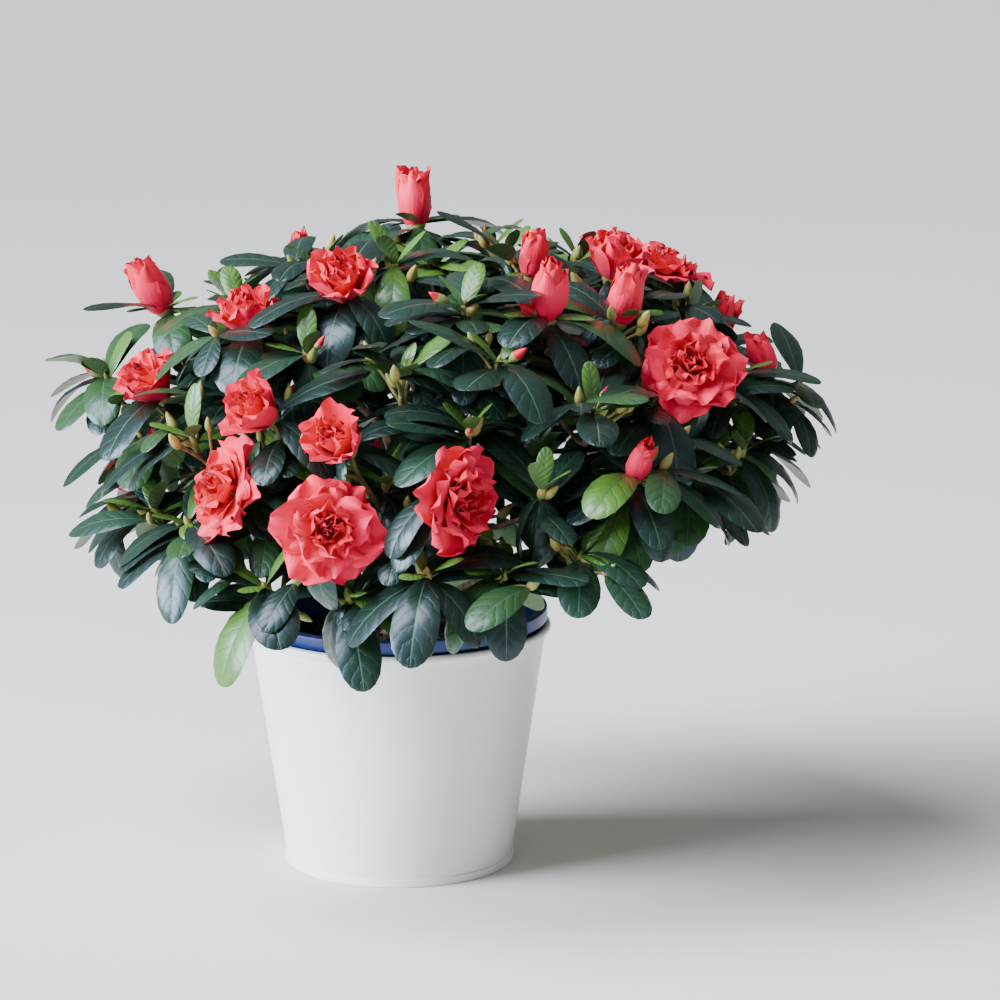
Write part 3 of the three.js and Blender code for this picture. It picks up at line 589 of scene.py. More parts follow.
# Head, bearing, lift, reach, the way a turned flower faces as bearing and lift, and its own scale.
FRONT_SHOOTS = (
    ("bud", 106, 65, 1.09),
    ("bud", 145, 50, 0.98, None, 0.7),
    ("rose", -129, 55, 1, (-100, 55)),
    ("bud", 175, 33, 1.1, (190, 60)),
    ("rose", -163, 22, 1, (-150, 50)),
    ("rose", -125, 24, 1, (-140, 35)),
    ("rose", -108, 20, 0.98, (-125, 35)),
    ("bloom", -111, 6, 1, (-88, 12)),
    ("bloom", -131, 10, 0.96, (-150, 20)),
    ("bloom", -91, 12, 1, (-35, 4)),
    ("bud", -61, 47, 1),
    ("bud", -38, 66, 0.99, None, 0.8),
    ("rose", -14, 54, 1.02),
    ("bud", -35, 44, 0.97),
    ("bloom", -30, 29, 1, (-82, 38)),
    ("bud", 1, 20, 1.09, (150, 72), 0.8),
    ("bud", -54, 13, 1, None, 0.7),
    ("tip", -93, -2, 1.02),
    ("tip", -124, -7, 1),
    ("tip", -143, 2, 1),
    ("tip", -100, 34, 0.95),
    ("tip", -79, -3, 0.96),
    ("tip", -20, 12, 1),
    ("rose", -150, 40, 0.95),
    ("tip", 170, 17, 1.16),
    ("tip", -78, 36, 1),
    ("tip", -65, 0, 0.98),
    ("tip", -42, 26, 0.97),
    ("tip", -72, 12, 0.97),
    ("tip", -60, 25, 0.99),
    ("tip", -85, 24, 0.93),
    ("tip", -103, 14, 0.84),
    ("tip", -129, 15, 0.84),
)

# Random draws: a seed for the plant, and for each use the number that its streams start at.
SEED = 2141
STREAMS = {"sowing": 1, "forks": 500, "spins": 1000, "leaves": 2000, "spurs": 3000, "old_leaves": 4000}
STREAMS.update({"spur_leaves": 5000, "greens": 6000, "petals": 7000, "leaf_buds": 8000})
MODULUS = 2147483647
MULTIPLIER = 48271


def stream(use, number=0):
    """Seeded numbers between 0 and 1, one stream for each use and number, by the minimal standard."""
    state = (SEED * 7919 + (STREAMS[use] + number) * 104729) % MODULUS

    def draw():
        nonlocal state
        state = (state * MULTIPLIER) % MODULUS
        return state / MODULUS

    draw()
    draw()
    return draw


class Shoot:
    """Where a twig ends, the axis it grows along, the head it carries and the way that faces."""

    def __init__(self, head, bearing, lift, reach, face=None, size=1):
        self.head = head
        self.foot = dome_point(bearing, lift, reach)
        outward = direction(bearing, max(lift, 0))
        self.axis = (outward * SHOOT_OUTWARD + UP * SHOOT_UPWARD).normalized()
        self.face = direction(*face) if face else self.axis
        self.size = size


def skirt(x):
    """The lowest that a shoot may stand: the crown's skirt rises towards both sides."""
    right = max(0, x - SKIRT_FLAT) * SKIRT_RISE_RIGHT
    left = max(0, -SKIRT_FLAT - x) * SKIRT_RISE_LEFT
    return SKIRT_HEIGHT + right + left


def sow_shoots():
    shoots = [Shoot(*row) for row in FRONT_SHOOTS]
    draw = stream("sowing")
    lowest = math.sin(math.radians(LOWEST_LIFT))
    for _ in range(SHOOT_TRIES):
        if len(shoots) == SHOOT_COUNT:
            break
        bearing = 360 * draw()
        lift = math.degrees(math.asin(between((lowest, 1), draw())))
        reach = between(SHOOT_REACH, draw())
        chance = draw()
        shoot = Shoot("tip", bearing, lift, reach)
        if shoot.foot.y > FLOWERS_BEHIND and lift < FLOWERS_BELOW:
            shoot.head = next(head for head, share in HEAD_CHANCES if chance < share)
        room = all((other.foot - shoot.foot).length > SHOOT_SPACING for other in shoots)
        if room and shoot.foot.z > skirt(shoot.foot.x):
            shoots.append(shoot)
    for index, shoot in enumerate(shoots):
        shoot.index = index
        shoot.spin = 360 * stream("spins", index)()
        lean = (shoot.foot - CROWN_MIDDLE).normalized()
        shoot.mass = max(masses, key=lambda mass: mass.lean.dot(lean))
        shoot.mass.shoots.append(shoot)
    return shoots


shoots = sow_shoots()


# Twigs: a leader runs on from each bough's tip and parts again and again until every twig ends in one
# shoot. Side spurs, finer still, fill the inside of the crown. Old wood is brown and young wood olive.
TWIG_TIP_RADIUS = 1.25 * mm
TWIG_THICKENING = 0.3
TWIG_STUB = 4 * mm
TWIG_NECK = 0.25
TWIG_SIDES = 7
TWIG_RINGS_TO_A_KNOT = 5
TWIG_DRAWN_IN = 0.5
KNOT_LENGTH = 4 * mm
KNOT_SWELL = 0.1
FORK_AT = (0.36, 0.44)
FORK_SWAY = 5 * mm
SPUR_RADIUS = 0.75 * mm
SPUR_LENGTH = (15 * mm, 26 * mm)
SPUR_PLACES = (0.3, 0.46, 0.62, 0.78)
SPUR_STRAY = 0.1
SPUR_SHORTEST_TWIG = 34 * mm
SPUR_FORWARD = 0.7
SPUR_UPWARD = 0.35
SPUR_TURN_UP = 0.6
SPUR_ARCH = 1.5 * mm
SPUR_TAPER = 1.3
SPUR_FIRST_NUMBER = 200
YOUNG_WOOD_FROM = 0.55


class Twig:
    """A twig through its control points, from its thickness there to the tip's, ending in one shoot."""

    def __init__(self, points, thick, shoot, tip_radius=TWIG_TIP_RADIUS):
        self.points = points
        self.thick = thick
        self.shoot = shoot
        self.tip_radius = tip_radius
        self.leads = False

    def point_at(self, along):
        """The centripetal curve through the control points."""
        knots = self.points
        place = along * (len(knots) - 1)
        i = min(int(place), len(knots) - 2)
        before = knots[i - 1] if i > 0 else knots[0] * 2 - knots[1]
        after = knots[i + 2] if i + 2 < len(knots) else knots[-1] * 2 - knots[-2]
        start, end = knots[i], knots[i + 1]
        pairs = ((before, start), (start, end), (end, after))
        x, y, z = (max(1e-4, math.sqrt((b - a).length)) for a, b in pairs)
        leave = (start - before) / x - (end - before) / (x + y) + (end - start) / y
        arrive = (end - start) / y - (after - start) / (y + z) + (after - end) / z
        leave *= y
        arrive *= y
        t = place - i
        fall = start * (2 * t**3 - 3 * t**2 + 1) + leave * (t**3 - 2 * t**2 + t)
        return fall + end * (3 * t**2 - 2 * t**3) + arrive * (t**3 - t**2)

    def radius_at(self, along):
        return between((self.thick, self.tip_radius), along)


def part_shoots(shoots):
    """Shoots in two groups, the larger first, each going with the nearer of the two farthest apart."""
    ends = (shoots[0], shoots[1])
    for a in shoots:
        for b in shoots:
            if (a.foot - b.foot).length > (ends[0].foot - ends[1].foot).length:
                ends = (a, b)
    first = [s for s in shoots if (s.foot - ends[0].foot).length <= (s.foot - ends[1].foot).length]
    second = [s for s in shoots if s not in first]
    return (first, second) if len(first) >= len(second) else (second, first)


def thickness_for(shoots):
    return TWIG_TIP_RADIUS * len(shoots) ** TWIG_THICKENING


def grow_twigs(points, thick, shoots, twigs):
    """Runs a twig on towards its shoots: it ends in the last one, or parts them and grows on to both."""
    start = points[-1]
    if len(shoots) == 1:
        shoot = shoots[0]
        neck = shoot.foot - shoot.axis * (TWIG_NECK * (shoot.foot - start).length)
        twigs.append(Twig([*points, neck, shoot.foot], thick, shoot))
        return
    middle = sum((s.foot for s in shoots), Vector()) / len(shoots)
    sway = stream("forks", shoots[0].index * 97 + len(shoots))
    fork = start.lerp(middle, between(FORK_AT, sway()))
    fork += Vector((sway() - 0.5, sway() - 0.5, sway() - 0.5)) * FORK_SWAY
    larger, smaller = part_shoots(shoots)
    grow_twigs([*points, fork], thick, larger, twigs)
    grow_twigs([fork], thickness_for(smaller), smaller, twigs)


def beside_axis(axis, share):
    """A unit vector square to an axis, turned round it by a share of a full turn."""
    return Quaternion(axis, 2 * math.pi * share) @ axis.orthogonal().normalized()


def grow_spurs(twig, spurs):
    """Fine side spurs, which stand off a twig inside the crown and end in a small rosette of leaves."""
    if (twig.points[-1] - twig.points[0]).length < SPUR_SHORTEST_TWIG:
        return
    draw = stream("spurs", twig.shoot.index)
    for number, share in enumerate(SPUR_PLACES):
        along = share + SPUR_STRAY * (draw() - 0.5)
        root, tangent = twig.point_at(along), tangent_at(twig.point_at, along)
        out = (beside_axis(tangent, draw()) + tangent * SPUR_FORWARD + UP * SPUR_UPWARD).normalized()
        end = Shoot("spur", 0, 0, 1)
        end.foot = root + out * between(SPUR_LENGTH, draw())
        end.axis = (out + UP * SPUR_TURN_UP).normalized()
        end.face = end.axis
        end.mass = twig.shoot.mass
        end.index = SPUR_FIRST_NUMBER + len(SPUR_PLACES) * twig.shoot.index + number
        end.spin = 360 * draw()
        neck = root.lerp(end.foot, 0.5) + tangent * SPUR_ARCH
        spurs.append(Twig([root, neck, end.foot], SPUR_RADIUS * SPUR_TAPER, end, SPUR_RADIUS))


def add_twig(joined, twig):
    """A smooth tapering twig, its first ring drawn in where it springs from inside another."""
    rings = TWIG_RINGS_TO_A_KNOT * (len(twig.points) - 1)

    def knotty_radius(along, angle, middle):
        drawn_in = TWIG_DRAWN_IN if along == 0 and not twig.leads else 1
        return twig.radius_at(along) * drawn_in * (1 + KNOT_SWELL * noise.noise(middle / KNOT_LENGTH))

    points, faces = limb(twig.point_at, knotty_radius, TWIG_SIDES, rings)
    young_from = 0 if twig.shoot.head == "spur" else YOUNG_WOOD_FROM
    finishes = [int(ring / rings >= young_from) for ring in range(rings) for _ in range(TWIG_SIDES)]
    joined.add(points, faces, finishes + [0, 1])


twigs, spurs = [], []
for mass in masses:
    stub = mass.tip + mass.arriving * (SEAT_GAP + TWIG_STUB)
    first = len(twigs)
    root = mass.tip - mass.arriving * BOUGH_TIP_RADIUS
    grow_twigs([root, stub], thickness_for(mass.shoots), mass.shoots, twigs)
    twigs[first].leads = True
for twig in twigs:
    grow_spurs(twig, spurs)

# Wood: smooth and thin-skinned, mottled every few millimetres, brown where old and olive where young.
TWIG_RELIEF = (0.5, 0.2 * mm)
OLD_TONES = ((0.35, "4a3a2b"), (0.65, "7c6650"))
YOUNG_TONES = ((0.35, "5f5a30"), (0.65, "8f8d55"))
old_wood = mottled_finish("old_brown_wood", "7c6650", 0.62, (3 * mm,) * 3, 4, OLD_TONES, TWIG_RELIEF)
young_wood = mottled_finish("young_olive_wood", "8f8d55", 0.62, (5 * mm,) * 3, 4, YOUNG_TONES, TWIG_RELIEF)
all_twigs = JoinedMesh()
for twig in twigs + spurs:
    add_twig(all_twigs, twig)
twig_piece = all_twigs.piece("twigs", [old_wood, young_wood])
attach(twig_piece, "root")


# Leaves: leathery, elliptic and widest past the middle, dark blue green above and yellow green beneath,
# with a sunken pale rib. Six grow in a whorl under each head, younger ones stand inside it, and older
# ones and the spurs' rosettes lie behind. A leaf that would touch another shoot is turned or drooped.
LEAF_LENGTH = 48 * mm
LEAF_LENGTH_SHARES = (0.84, 1.14)
LEAF_WIDTH = 21.5 * mm
LEAF_WIDTH_SHARES = (0.86, 1.14)
LEAF_THICKNESS = 0.55 * mm
LEAF_WIDEST = 0.58
LEAVES_AT_TIP = 6
LEAF_ROUND = (-6, 6)
LEAF_OPEN = ((-4, 10), (16, 30))
LEAF_RISE = (0.4 * mm, 3 * mm)
LEAF_SINK = 0.4 * mm
LEAF_TO_SKY = 0.55
LEAF_BEND = 62
LEAF_BEND_SHARES = (0.6, 1.3)
LEAF_LAP = 14 * mm
# Tries at a clear place: turned further round, drooped further, and its share of its full size.
LEAF_TRIES = ((0, 0, 1), (9, 8, 1), (-9, 8, 1), (0, 24, 0.92), (0, -16, 0.9), (5, 40, 0.84))
LEAF_STATIONS = (0, 0.07, 0.2, 0.36, 0.54, 0.7, 0.84, 0.94, 0.985)
LEAF_ACROSS = (-1, -0.54, -0.035, 0.035, 0.54, 1)
LEAF_HEIGHTS = (-0.1, 0.07, -0.03, -0.03, 0.07, -0.1)
LEAF_STALK = 0.55 * mm
LEAF_WAVE = 0.05
YOUNG_LEAVES = 3
YOUNG_LEAF_LENGTH = (17 * mm, 27 * mm)
YOUNG_LEAF_TURN = 30
YOUNG_LEAF_ROUND = 20
YOUNG_LEAF_OPEN = {"tip": (42, 68), "bud": (12, 32)}
OLD_LEAVES = 12
OLD_LEAF_PLACES = (0.16, 0.94)
OLD_LEAF_SHARES = (0.7, 1)
OLD_LEAF_OPEN = (0, 25)
OLD_LEAF_TURN = 137.5
SPUR_LEAVES = 5
SPUR_LEAF_LENGTH = (28 * mm, 44 * mm)
SPUR_LEAF_OPEN = (-5, 30)
SPUR_LAP = 10 * mm
FILLING_LOWEST = 152 * mm
# Width as a share of length, and the arch in degrees, of the young, the old and the spurs' leaves.
YOUNG_LEAF_SHAPE, OLD_LEAF_SHAPE, SPUR_LEAF_SHAPE = (0.4, 24), (0.44, 50), (0.45, 45)
GREENS = ("16261d", "1a2e22", "213a28", "2c4a26", "4d7228")
YOUNG_GREEN = len(GREENS) - 1
GREEN_CHANCES = (0.34, 0.66, 0.86, 0.96)
RIB, UNDERSIDE = len(GREENS), len(GREENS) + 1
SIDE_VEINS_SLANT = 0.44
SIDE_VEINS_TURN = 20
SIDE_VEINS_SWAY = 0.12
PILLOW_POWER = 0.35
QUILT_SIZE = 4 * mm
QUILT_SHARE = 0.8
GLOSS_DRIFT = 0.07

# The air that a flower or a flower bud keeps free before its face: its radius, and how far up from the
# foot it begins and ends.
FLOWER_AIR = {
    "bud": (9.5 * mm, 10 * mm, 32 * mm),
    "rose": (14 * mm, 8 * mm, 40 * mm),
    "bloom": (25 * mm, 6 * mm, 48 * mm),
}
# Each kind of head as a profile of radius and height from its foot, in millimetres.
HEAD_PROFILES = {
    "tip": ((0, -5), (3.2, 1.8), (0, 11)),
    "bud": ((0, -5), (4.6, 1), (10, 15), (8.6, 24), (0, 34)),
    "rose": ((0, -5), (4.6, 1), (14.5, 13), (17, 24), (8, 28), (0, 25)),
    "bloom": ((0, -5), (4.6, 1), (15, 10), (28.5, 19), (13, 24), (0, 22)),
    "spur": ((0, -1), (1.4, 0.5), (0, 4)),
}
# A leaf's outline in a few flat faces, by its share along and across, for keeping it clear of others. A
# blade is the same without its root.
PLAIN_LEAF = ((0, 0), (0.3, -0.7), (0.66, -1), (0.99, -0.2), (0.99, 0.2), (0.66, 1), (0.3, 0.7))
PLAIN_LEAF_FACES = [(0, 1, 6), (1, 2, 5, 6), (2, 3, 4, 5)]
BLADE_FACES = [(0, 1, 4, 5), (1, 2, 3, 4)]


class Room:
    """The room that twigs, heads and leaves take, each held with its box and the shoot it belongs to."""

    def __init__(self):
        self.taken = []

    def take(self, points, faces, owner):
        self.taken.append((self.box(points), owner, BVHTree.FromPolygons(points, faces)))

    def box(self, points):
        return [pick(p[i] for p in points) for pick in (min, max) for i in range(3)]

    def free(self, points, faces, owner):
        """Whether a shape touches nothing that belongs to another shoot."""
        a = self.box(points)
        tree = None
        for b, other, taken in self.taken:
            if a[0] > b[3] or b[0] > a[3] or a[1] > b[4] or b[1] > a[4] or a[2] > b[5] or b[2] > a[5]:
                continue
            if other is owner:
                continue
            tree = tree or BVHTree.FromPolygons(points, faces)
            if tree.overlap(taken):
                return False
        return True


def past_wall(point, mass):
    """How far past the wall of its mass a point lies: each mass keeps the part nearest its lean."""
    out = point - CROWN_MIDDLE
    return max(out.dot((other.lean - mass.lean).normalized()) for other in masses if other is not mass)


class Leaf:
    """A leaf that leaves a shoot's axis turned round it, opened from the level of its foot, and arched."""

    def __init__(self, shoot, turned, open_angle, rise, length, width, bend, foot=None):
        spoke = UP.rotation_difference(shoot.axis) @ Vector((1, 0, 0))
        spoke = Quaternion(shoot.axis, math.radians(turned)) @ spoke
        tilt = math.radians(open_angle)
        self.out = spoke * math.cos(tilt) + shoot.axis * math.sin(tilt)
        sky = shoot.axis.lerp(UP, LEAF_TO_SKY)
        self.up = (sky - self.out * sky.dot(self.out)).normalized()
        self.root = (foot or shoot.foot) + shoot.axis * rise + self.out * LEAF_SINK
        self.side = self.out.cross(self.up)
        self.length, self.width = length, width
        self.arc = math.radians(max(bend, 1))

    def station(self, along, across, raised):
        """A point by its share along the arched rib, its way to one side and its height over the blade."""
        turn = self.arc * along
        reach = self.length / self.arc
        face = self.up * math.cos(turn) + self.out * math.sin(turn)
        middle = self.root + self.out * (reach * math.sin(turn)) - self.up * (reach * (1 - math.cos(turn)))
        return middle + self.side * across + face * raised

    def plain_shape(self):
        return [self.station(along, across * (self.width / 2), 0) for along, across in PLAIN_LEAF]


def leaf_width_at(along):
    """The half width as a share: a taper from the stalk, widest past the middle, a blunt tip."""
    if along <= 0:
        return 0.0
    return (along / LEAF_WIDEST) ** 0.8 * ((1 - along) / (1 - LEAF_WIDEST)) ** 0.5


def leaf_blade(leaf, finishes, twist):
    """The blade: five strips above, the middle one its rib, and two beneath that share its edge."""
    points, faces, face_finishes, places = [], [], [], []
    half = leaf.width / 2
    upper, rib, under = finishes
    stalk = max(LEAF_STALK, 0.05 * half)
    for along in LEAF_STATIONS:
        wide = max(leaf_width_at(along) * half, stalk)
        wave = LEAF_WAVE * half * math.sin(7 * along + twist)
        for a, height in zip(LEAF_ACROSS, LEAF_HEIGHTS):
            points.append(leaf.station(along, a * wide, height * wide + wave * a))
            places.append((along, (a + 1) / 2))
        depth = LEAF_THICKNESS * (1.6 - along)
        points.append(leaf.station(along, 0, -0.03 * wide - depth))
        places.append((along, 0.5))
    row, tip = len(LEAF_ACROSS) + 1, len(points)
    points.append(leaf.station(1, 0, 0))
    places.append((1, 0.5))
    strips = [(i, i + 1, rib if i == 2 else upper) for i in range(5)] + [(5, 6, under), (6, 0, under)]
    for low in range(0, tip, row):
        high = low + row
        for i, j, finish in strips:
            beyond = (tip,) if high == tip else (high + j, high + i)
            faces.append((low + i, low + j, *beyond))
            face_finishes.append(finish)
    faces.append((6, 5, 4, 3, 2, 1, 0))
    face_finishes.append(under)
    return points, faces, face_finishes, places


def leaf_finish(name, colour, roughness, vein_depth):
    """Azalea leaf: waxy and softly glossy, with a painted cool-blue tint on its reflections for the sky,
    pillowed between side veins 7 mm apart.
    """
    coat = {"Coat_Weight": 0.4, "Coat_Roughness": 0.24, "Specular_IOR_Level": 0.5}
    # The Specular Tint is a painted reflection: a cool blue standing in for the sky seen in the leaves.
    finish, tree, shader = new_finish(name, colour, roughness, Specular_Tint=linear("9cc4e4"), **coat)
    place = add_node(tree, "ShaderNodeTexCoord").outputs["Object"]
    pattern = {"Vector": place, "Scale": 1 / QUILT_SIZE, "Detail": 4, "Roughness": 0.66}
    quilt = add_node(tree, "ShaderNodeTexNoise", pattern).outputs["Fac"]
    blade = add_node(tree, "ShaderNodeUVMap", uv_map="blade").outputs["UV"]
    split = add_node(tree, "ShaderNodeSeparateXYZ", {"Vector": blade}).outputs
    sway = add_node(tree, "ShaderNodeMath", {0: quilt, 1: SIDE_VEINS_SWAY}, operation="MULTIPLY").outputs[0]
    # How far along the blade a slanting vein leaves the rib, swayed a little, and the pillow between two.
    vein = (("SUBTRACT", 0.5), ("ABSOLUTE", 0), ("MULTIPLY", -SIDE_VEINS_SLANT), ("ADD", split["X"]))
    pillow = (("MULTIPLY", SIDE_VEINS_TURN), ("SINE", 0), ("ABSOLUTE", 0), ("POWER", PILLOW_POWER))
    value = split["Y"]
    for operation, other in (*vein, ("ADD", sway), *pillow):
        value = add_node(tree, "ShaderNodeMath", {0: value, 1: other}, operation=operation).outputs[0]
    height = add_node(tree, "ShaderNodeMath", {0: quilt, 1: QUILT_SHARE, 2: value}, operation="MULTIPLY_ADD")
    relief = {"Height": height.outputs[0], "Strength": 0.7, "Distance": vein_depth}
    add_node(tree, "ShaderNodeBump", relief, shader.inputs["Normal"])
    levels = {"Value": quilt, "To Min": roughness - GLOSS_DRIFT, "To Max": roughness + GLOSS_DRIFT}
    add_node(tree, "ShaderNodeMapRange", levels, shader.inputs["Roughness"])
    return finish


def twig_shape(twig):
    """A twig in three flat sides, for keeping leaves clear of it."""
    points = []
    steps = 2 * (len(twig.points) - 1)
    for ring in range(steps + 1):
        tangent = tangent_at(twig.point_at, ring / steps)
        across = tangent.orthogonal().normalized()
        beside = tangent.cross(across)
        for turned in (0, 120, 240):
            angle = math.radians(turned)
            out = across * math.cos(angle) + beside * math.sin(angle)
            points.append(twig.point_at(ring / steps) + out * twig.radius_at(ring / steps))
    return points, wall_faces(3, steps)


def head_shape(shoot):
    profile = [(r * mm * shoot.size, z * mm * shoot.size) for r, z in HEAD_PROFILES[shoot.head]]
    points, faces = turn_on_lathe(profile, 8)
    turn = UP.rotation_difference(shoot.face)
    return [shoot.foot + turn @ p for p in points], faces


def hides_flower(points):
    """Whether any of the points lies in the air that a flower or a flower bud keeps free."""
    for flower in flowering:
        radius, start, end = FLOWER_AIR[flower.head]
        if (points[0] - flower.foot).length > 2.5 * end:
            continue
        for point in points:
            off = point - flower.foot
            level = off.dot(flower.face)
            if start < level < end and (off - flower.face * level).length < radius:
                return True
    return False


def try_leaf(shoot, plan, green=None, lap=LEAF_LAP, foot=None, filling=False):
    """Keeps the first of a leaf's tries that stays by its mass and touches no other shoot, or else None.

    A leaf that fills the crown keeps above the pot too, and crosses no blade of its own shoot.
    """
    turned, open_angle, rise, length, width, bend = plan
    kept = None
    for turn, droop, share in LEAF_TRIES:
        size = (length * share, width * share)
        leaf = Leaf(shoot, turned + turn, open_angle - droop, rise, *size, bend + droop, foot)
        points = leaf.plain_shape()
        if any(past_wall(point, shoot.mass) > lap for point in points):
            continue
        if hides_flower(points[1:]) or not room.free(points, PLAIN_LEAF_FACES, shoot):
            continue
        low = min(point.z for point in points)
        if filling and (low < FILLING_LOWEST or not blades.free(points[1:], BLADE_FACES, None)):
            continue
        room.take(points, PLAIN_LEAF_FACES, shoot)
        blades.take(points[1:], BLADE_FACES, shoot)
        kept = leaf
        break
    grown_leaves.append((kept, shoot, green))


room, blades = Room(), Room()
flowering = [shoot for shoot in shoots if shoot.head in FLOWER_AIR]
for twig in twigs + spurs:
    room.take(*twig_shape(twig), twig.shoot)
for shoot in shoots + [spur.shoot for spur in spurs]:
    room.take(*head_shape(shoot), shoot)
grown_leaves = []
for shoot in shoots:
    draw = stream("leaves", shoot.index)
    for i in range(LEAVES_AT_TIP):
        tier = i % 2
        turned = shoot.spin + 360 / LEAVES_AT_TIP * i + between(LEAF_ROUND, draw())
        length = LEAF_LENGTH * between(LEAF_LENGTH_SHARES, draw())
        width = LEAF_WIDTH * between(LEAF_WIDTH_SHARES, draw())
        open_angle = between(LEAF_OPEN[tier], draw())
        bend = LEAF_BEND * between(LEAF_BEND_SHARES, draw())
        try_leaf(shoot, (turned, open_angle, LEAF_RISE[tier], length, width, bend))
    share, bend = YOUNG_LEAF_SHAPE
    for i in range(YOUNG_LEAVES if shoot.head in YOUNG_LEAF_OPEN else 0):
        length = between(YOUNG_LEAF_LENGTH, draw())
        turned = shoot.spin + YOUNG_LEAF_TURN + 360 / YOUNG_LEAVES * i + YOUNG_LEAF_ROUND * draw()
        open_angle = between(YOUNG_LEAF_OPEN[shoot.head], draw())
        try_leaf(shoot, (turned, open_angle, LEAF_RISE[1], length, share * length, bend), YOUNG_GREEN)
for twig in twigs:
    draw = stream("old_leaves", twig.shoot.index)
    share, bend = OLD_LEAF_SHAPE
    for i in range(OLD_LEAVES):
        foot = twig.point_at(between(OLD_LEAF_PLACES, (i + draw()) / OLD_LEAVES))
        length = LEAF_LENGTH * between(OLD_LEAF_SHARES, draw())
        turned = OLD_LEAF_TURN * i + 360 * draw()
        plan = (turned, between(OLD_LEAF_OPEN, draw()), 0, length, share * length, bend)
        try_leaf(twig.shoot, plan, foot=foot, filling=True)
for spur in spurs:
    draw = stream("spur_leaves", spur.shoot.index)
    share, bend = SPUR_LEAF_SHAPE
    for i in range(SPUR_LEAVES):
        length = between(SPUR_LEAF_LENGTH, draw())
        turned = spur.shoot.spin + 360 / SPUR_LEAVES * i
        plan = (turned, between(SPUR_LEAF_OPEN, draw()), 0, length, share * length, bend)
        try_leaf(spur.shoot, plan, lap=SPUR_LAP, filling=True)

leaf_finishes = [leaf_finish(f"leaf_green_{k + 1}", green, 0.4, 0.48 * mm) for k, green in enumerate(GREENS)]
leaf_finishes.append(leaf_finish("leaf_rib", "3f5a44", 0.5, 0.1 * mm))
leaf_finishes.append(leaf_finish("leaf_underside", "4c6a34", 0.62, 0.4 * mm))
leaf_meshes = {"low": JoinedMesh(), "high": JoinedMesh()}
deal = stream("greens")
for leaf, shoot, green in grown_leaves:
    # Every leaf takes a draw, also one that found no room.
    chance = deal()
    if leaf is None:
        continue
    if green is None:
        green = next((k for k, share in enumerate(GREEN_CHANCES) if chance < share), YOUNG_GREEN)
    level = "low" if shoot.mass.name.startswith("low") else "high"
    leaf_meshes[level].add(*leaf_blade(leaf, (green, RIB, UNDERSIDE), 6 * chance))
for level, joined in leaf_meshes.items():
    stood_for = ["foliage_" + m.name for m in masses if m.name.startswith("low") == (level == "low")]
    leaves = joined.piece(f"leaves_{level}", leaf_finishes, sharp_from=50)
    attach(leaves, "root")
    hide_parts(*stood_for)


# Petals: thin, soft and silky, broad past the middle and ruffled along their edge. A full flower has four
# whorls of them round a crumpled heart, a half-open one still cups, and a bud is rolled to a point.
PETAL_THICKNESS = 0.3 * mm
PETAL_ALONG = (0, 0.2, 0.45, 0.72, 0.9, 1)
PETAL_WIDTHS = (0.28, 0.62, 0.95, 1, 0.86, 0.54)
PETAL_ACROSS = (-1, -0.8, -0.6, -0.4, -0.2, 0, 0.2, 0.4, 0.6, 0.8, 1)
PETAL_LENGTH_SHARES = (0.88, 1.06)
PETAL_WIDTH_SHARES = (0.93, 1.1)
PETAL_STRAY = 0.25
PETAL_LEAN = 20
PETAL_ROOT = 1.2 * mm
# Petal reds from the outer whorl to the heart: the inner ones are darker, partly the flower's own deeper
# throat and partly painted shade in the crumpled heart.
PETAL_REDS_WITH_PAINTED_SHADE = ("ec0e45", "e30a38", "cc062a", "9b051b")
SIDE_BUD_CORAL = 2

# Petals in a whorl, their length and width in millimetres, tilts from the axis at base, middle and tip,
# how far they wrap round it, their ruffle, the height they spring from and their colour's number, which runs
# darker inward, partly as painted shade.
WHORLS = {
    "bloom": (
        (6, 30, 28, (22, 66, 104), 0.1, 1.4, 0, 0),
        (6, 26, 25, (14, 50, 82), 0.15, 1.7, 1.2, 0),
        (5, 22.5, 20, (10, 34, 60), 0.2, 1.8, 2.4, 1),
        (5, 20, 17, (8, 18, 36), 0.3, 1.8, 3.2, 2),
        (5, 18, 13, (10, 2, 8), 0.5, 1.7, 3.8, 2),
        (4, 17, 11, (6, -6, -10), 0.6, 1.6, 4.2, 3),
    ),
    "rose": (
        (5, 26, 24, (66, 14, 34), 0.5, 1.2, 0, 0),
        (5, 25, 20, (52, 8, 18), 0.6, 1.4, 1, 1),
        (5, 24, 17, (36, 2, 6), 0.6, 1.5, 2, 1),
        (4, 23, 14, (18, -4, -4), 0.7, 1.5, 3, 2),
        (3, 22, 10, (6, -4, -8), 0.8, 1.4, 3, 3),
    ),
    "bud": (
        (5, 31, 22, (74, 8, -27), 0.95, 0.7, 0, 0),
        (5, 33, 18, (60, 4, -18), 0.95, 1.1, 1, 1),
        (4, 33, 14, (40, 0, -8), 0.9, 1.3, 1.5, 2),
    ),
}
BRACTS = (6, 13, 8, (58, 16, 4), 0.8, 0.2, -3, 0)
SIDE_BUDS = {"tip": 0.8, "bud": 3.4, "rose": 3}
SIDE_BUD_SPREAD = (0.7, 1.5)
SIDE_BUD_STALK = (5 * mm, 10 * mm)
SIDE_BUD_LENGTH = (9 * mm, 15 * mm)
SIDE_BUD_CORAL_FROM = (0.3, 0.8)
SIDE_BUD_PLUMPNESS = 0.22
# The spindle of a side bud above its stalk, by shares of its radius and its length.
SIDE_BUD_SHARES = ((0.6, 0.08), (0.95, 0.24), (1, 0.4), (0.74, 0.62), (0.34, 0.84), (0, 1))
BUD_SIDES = 8


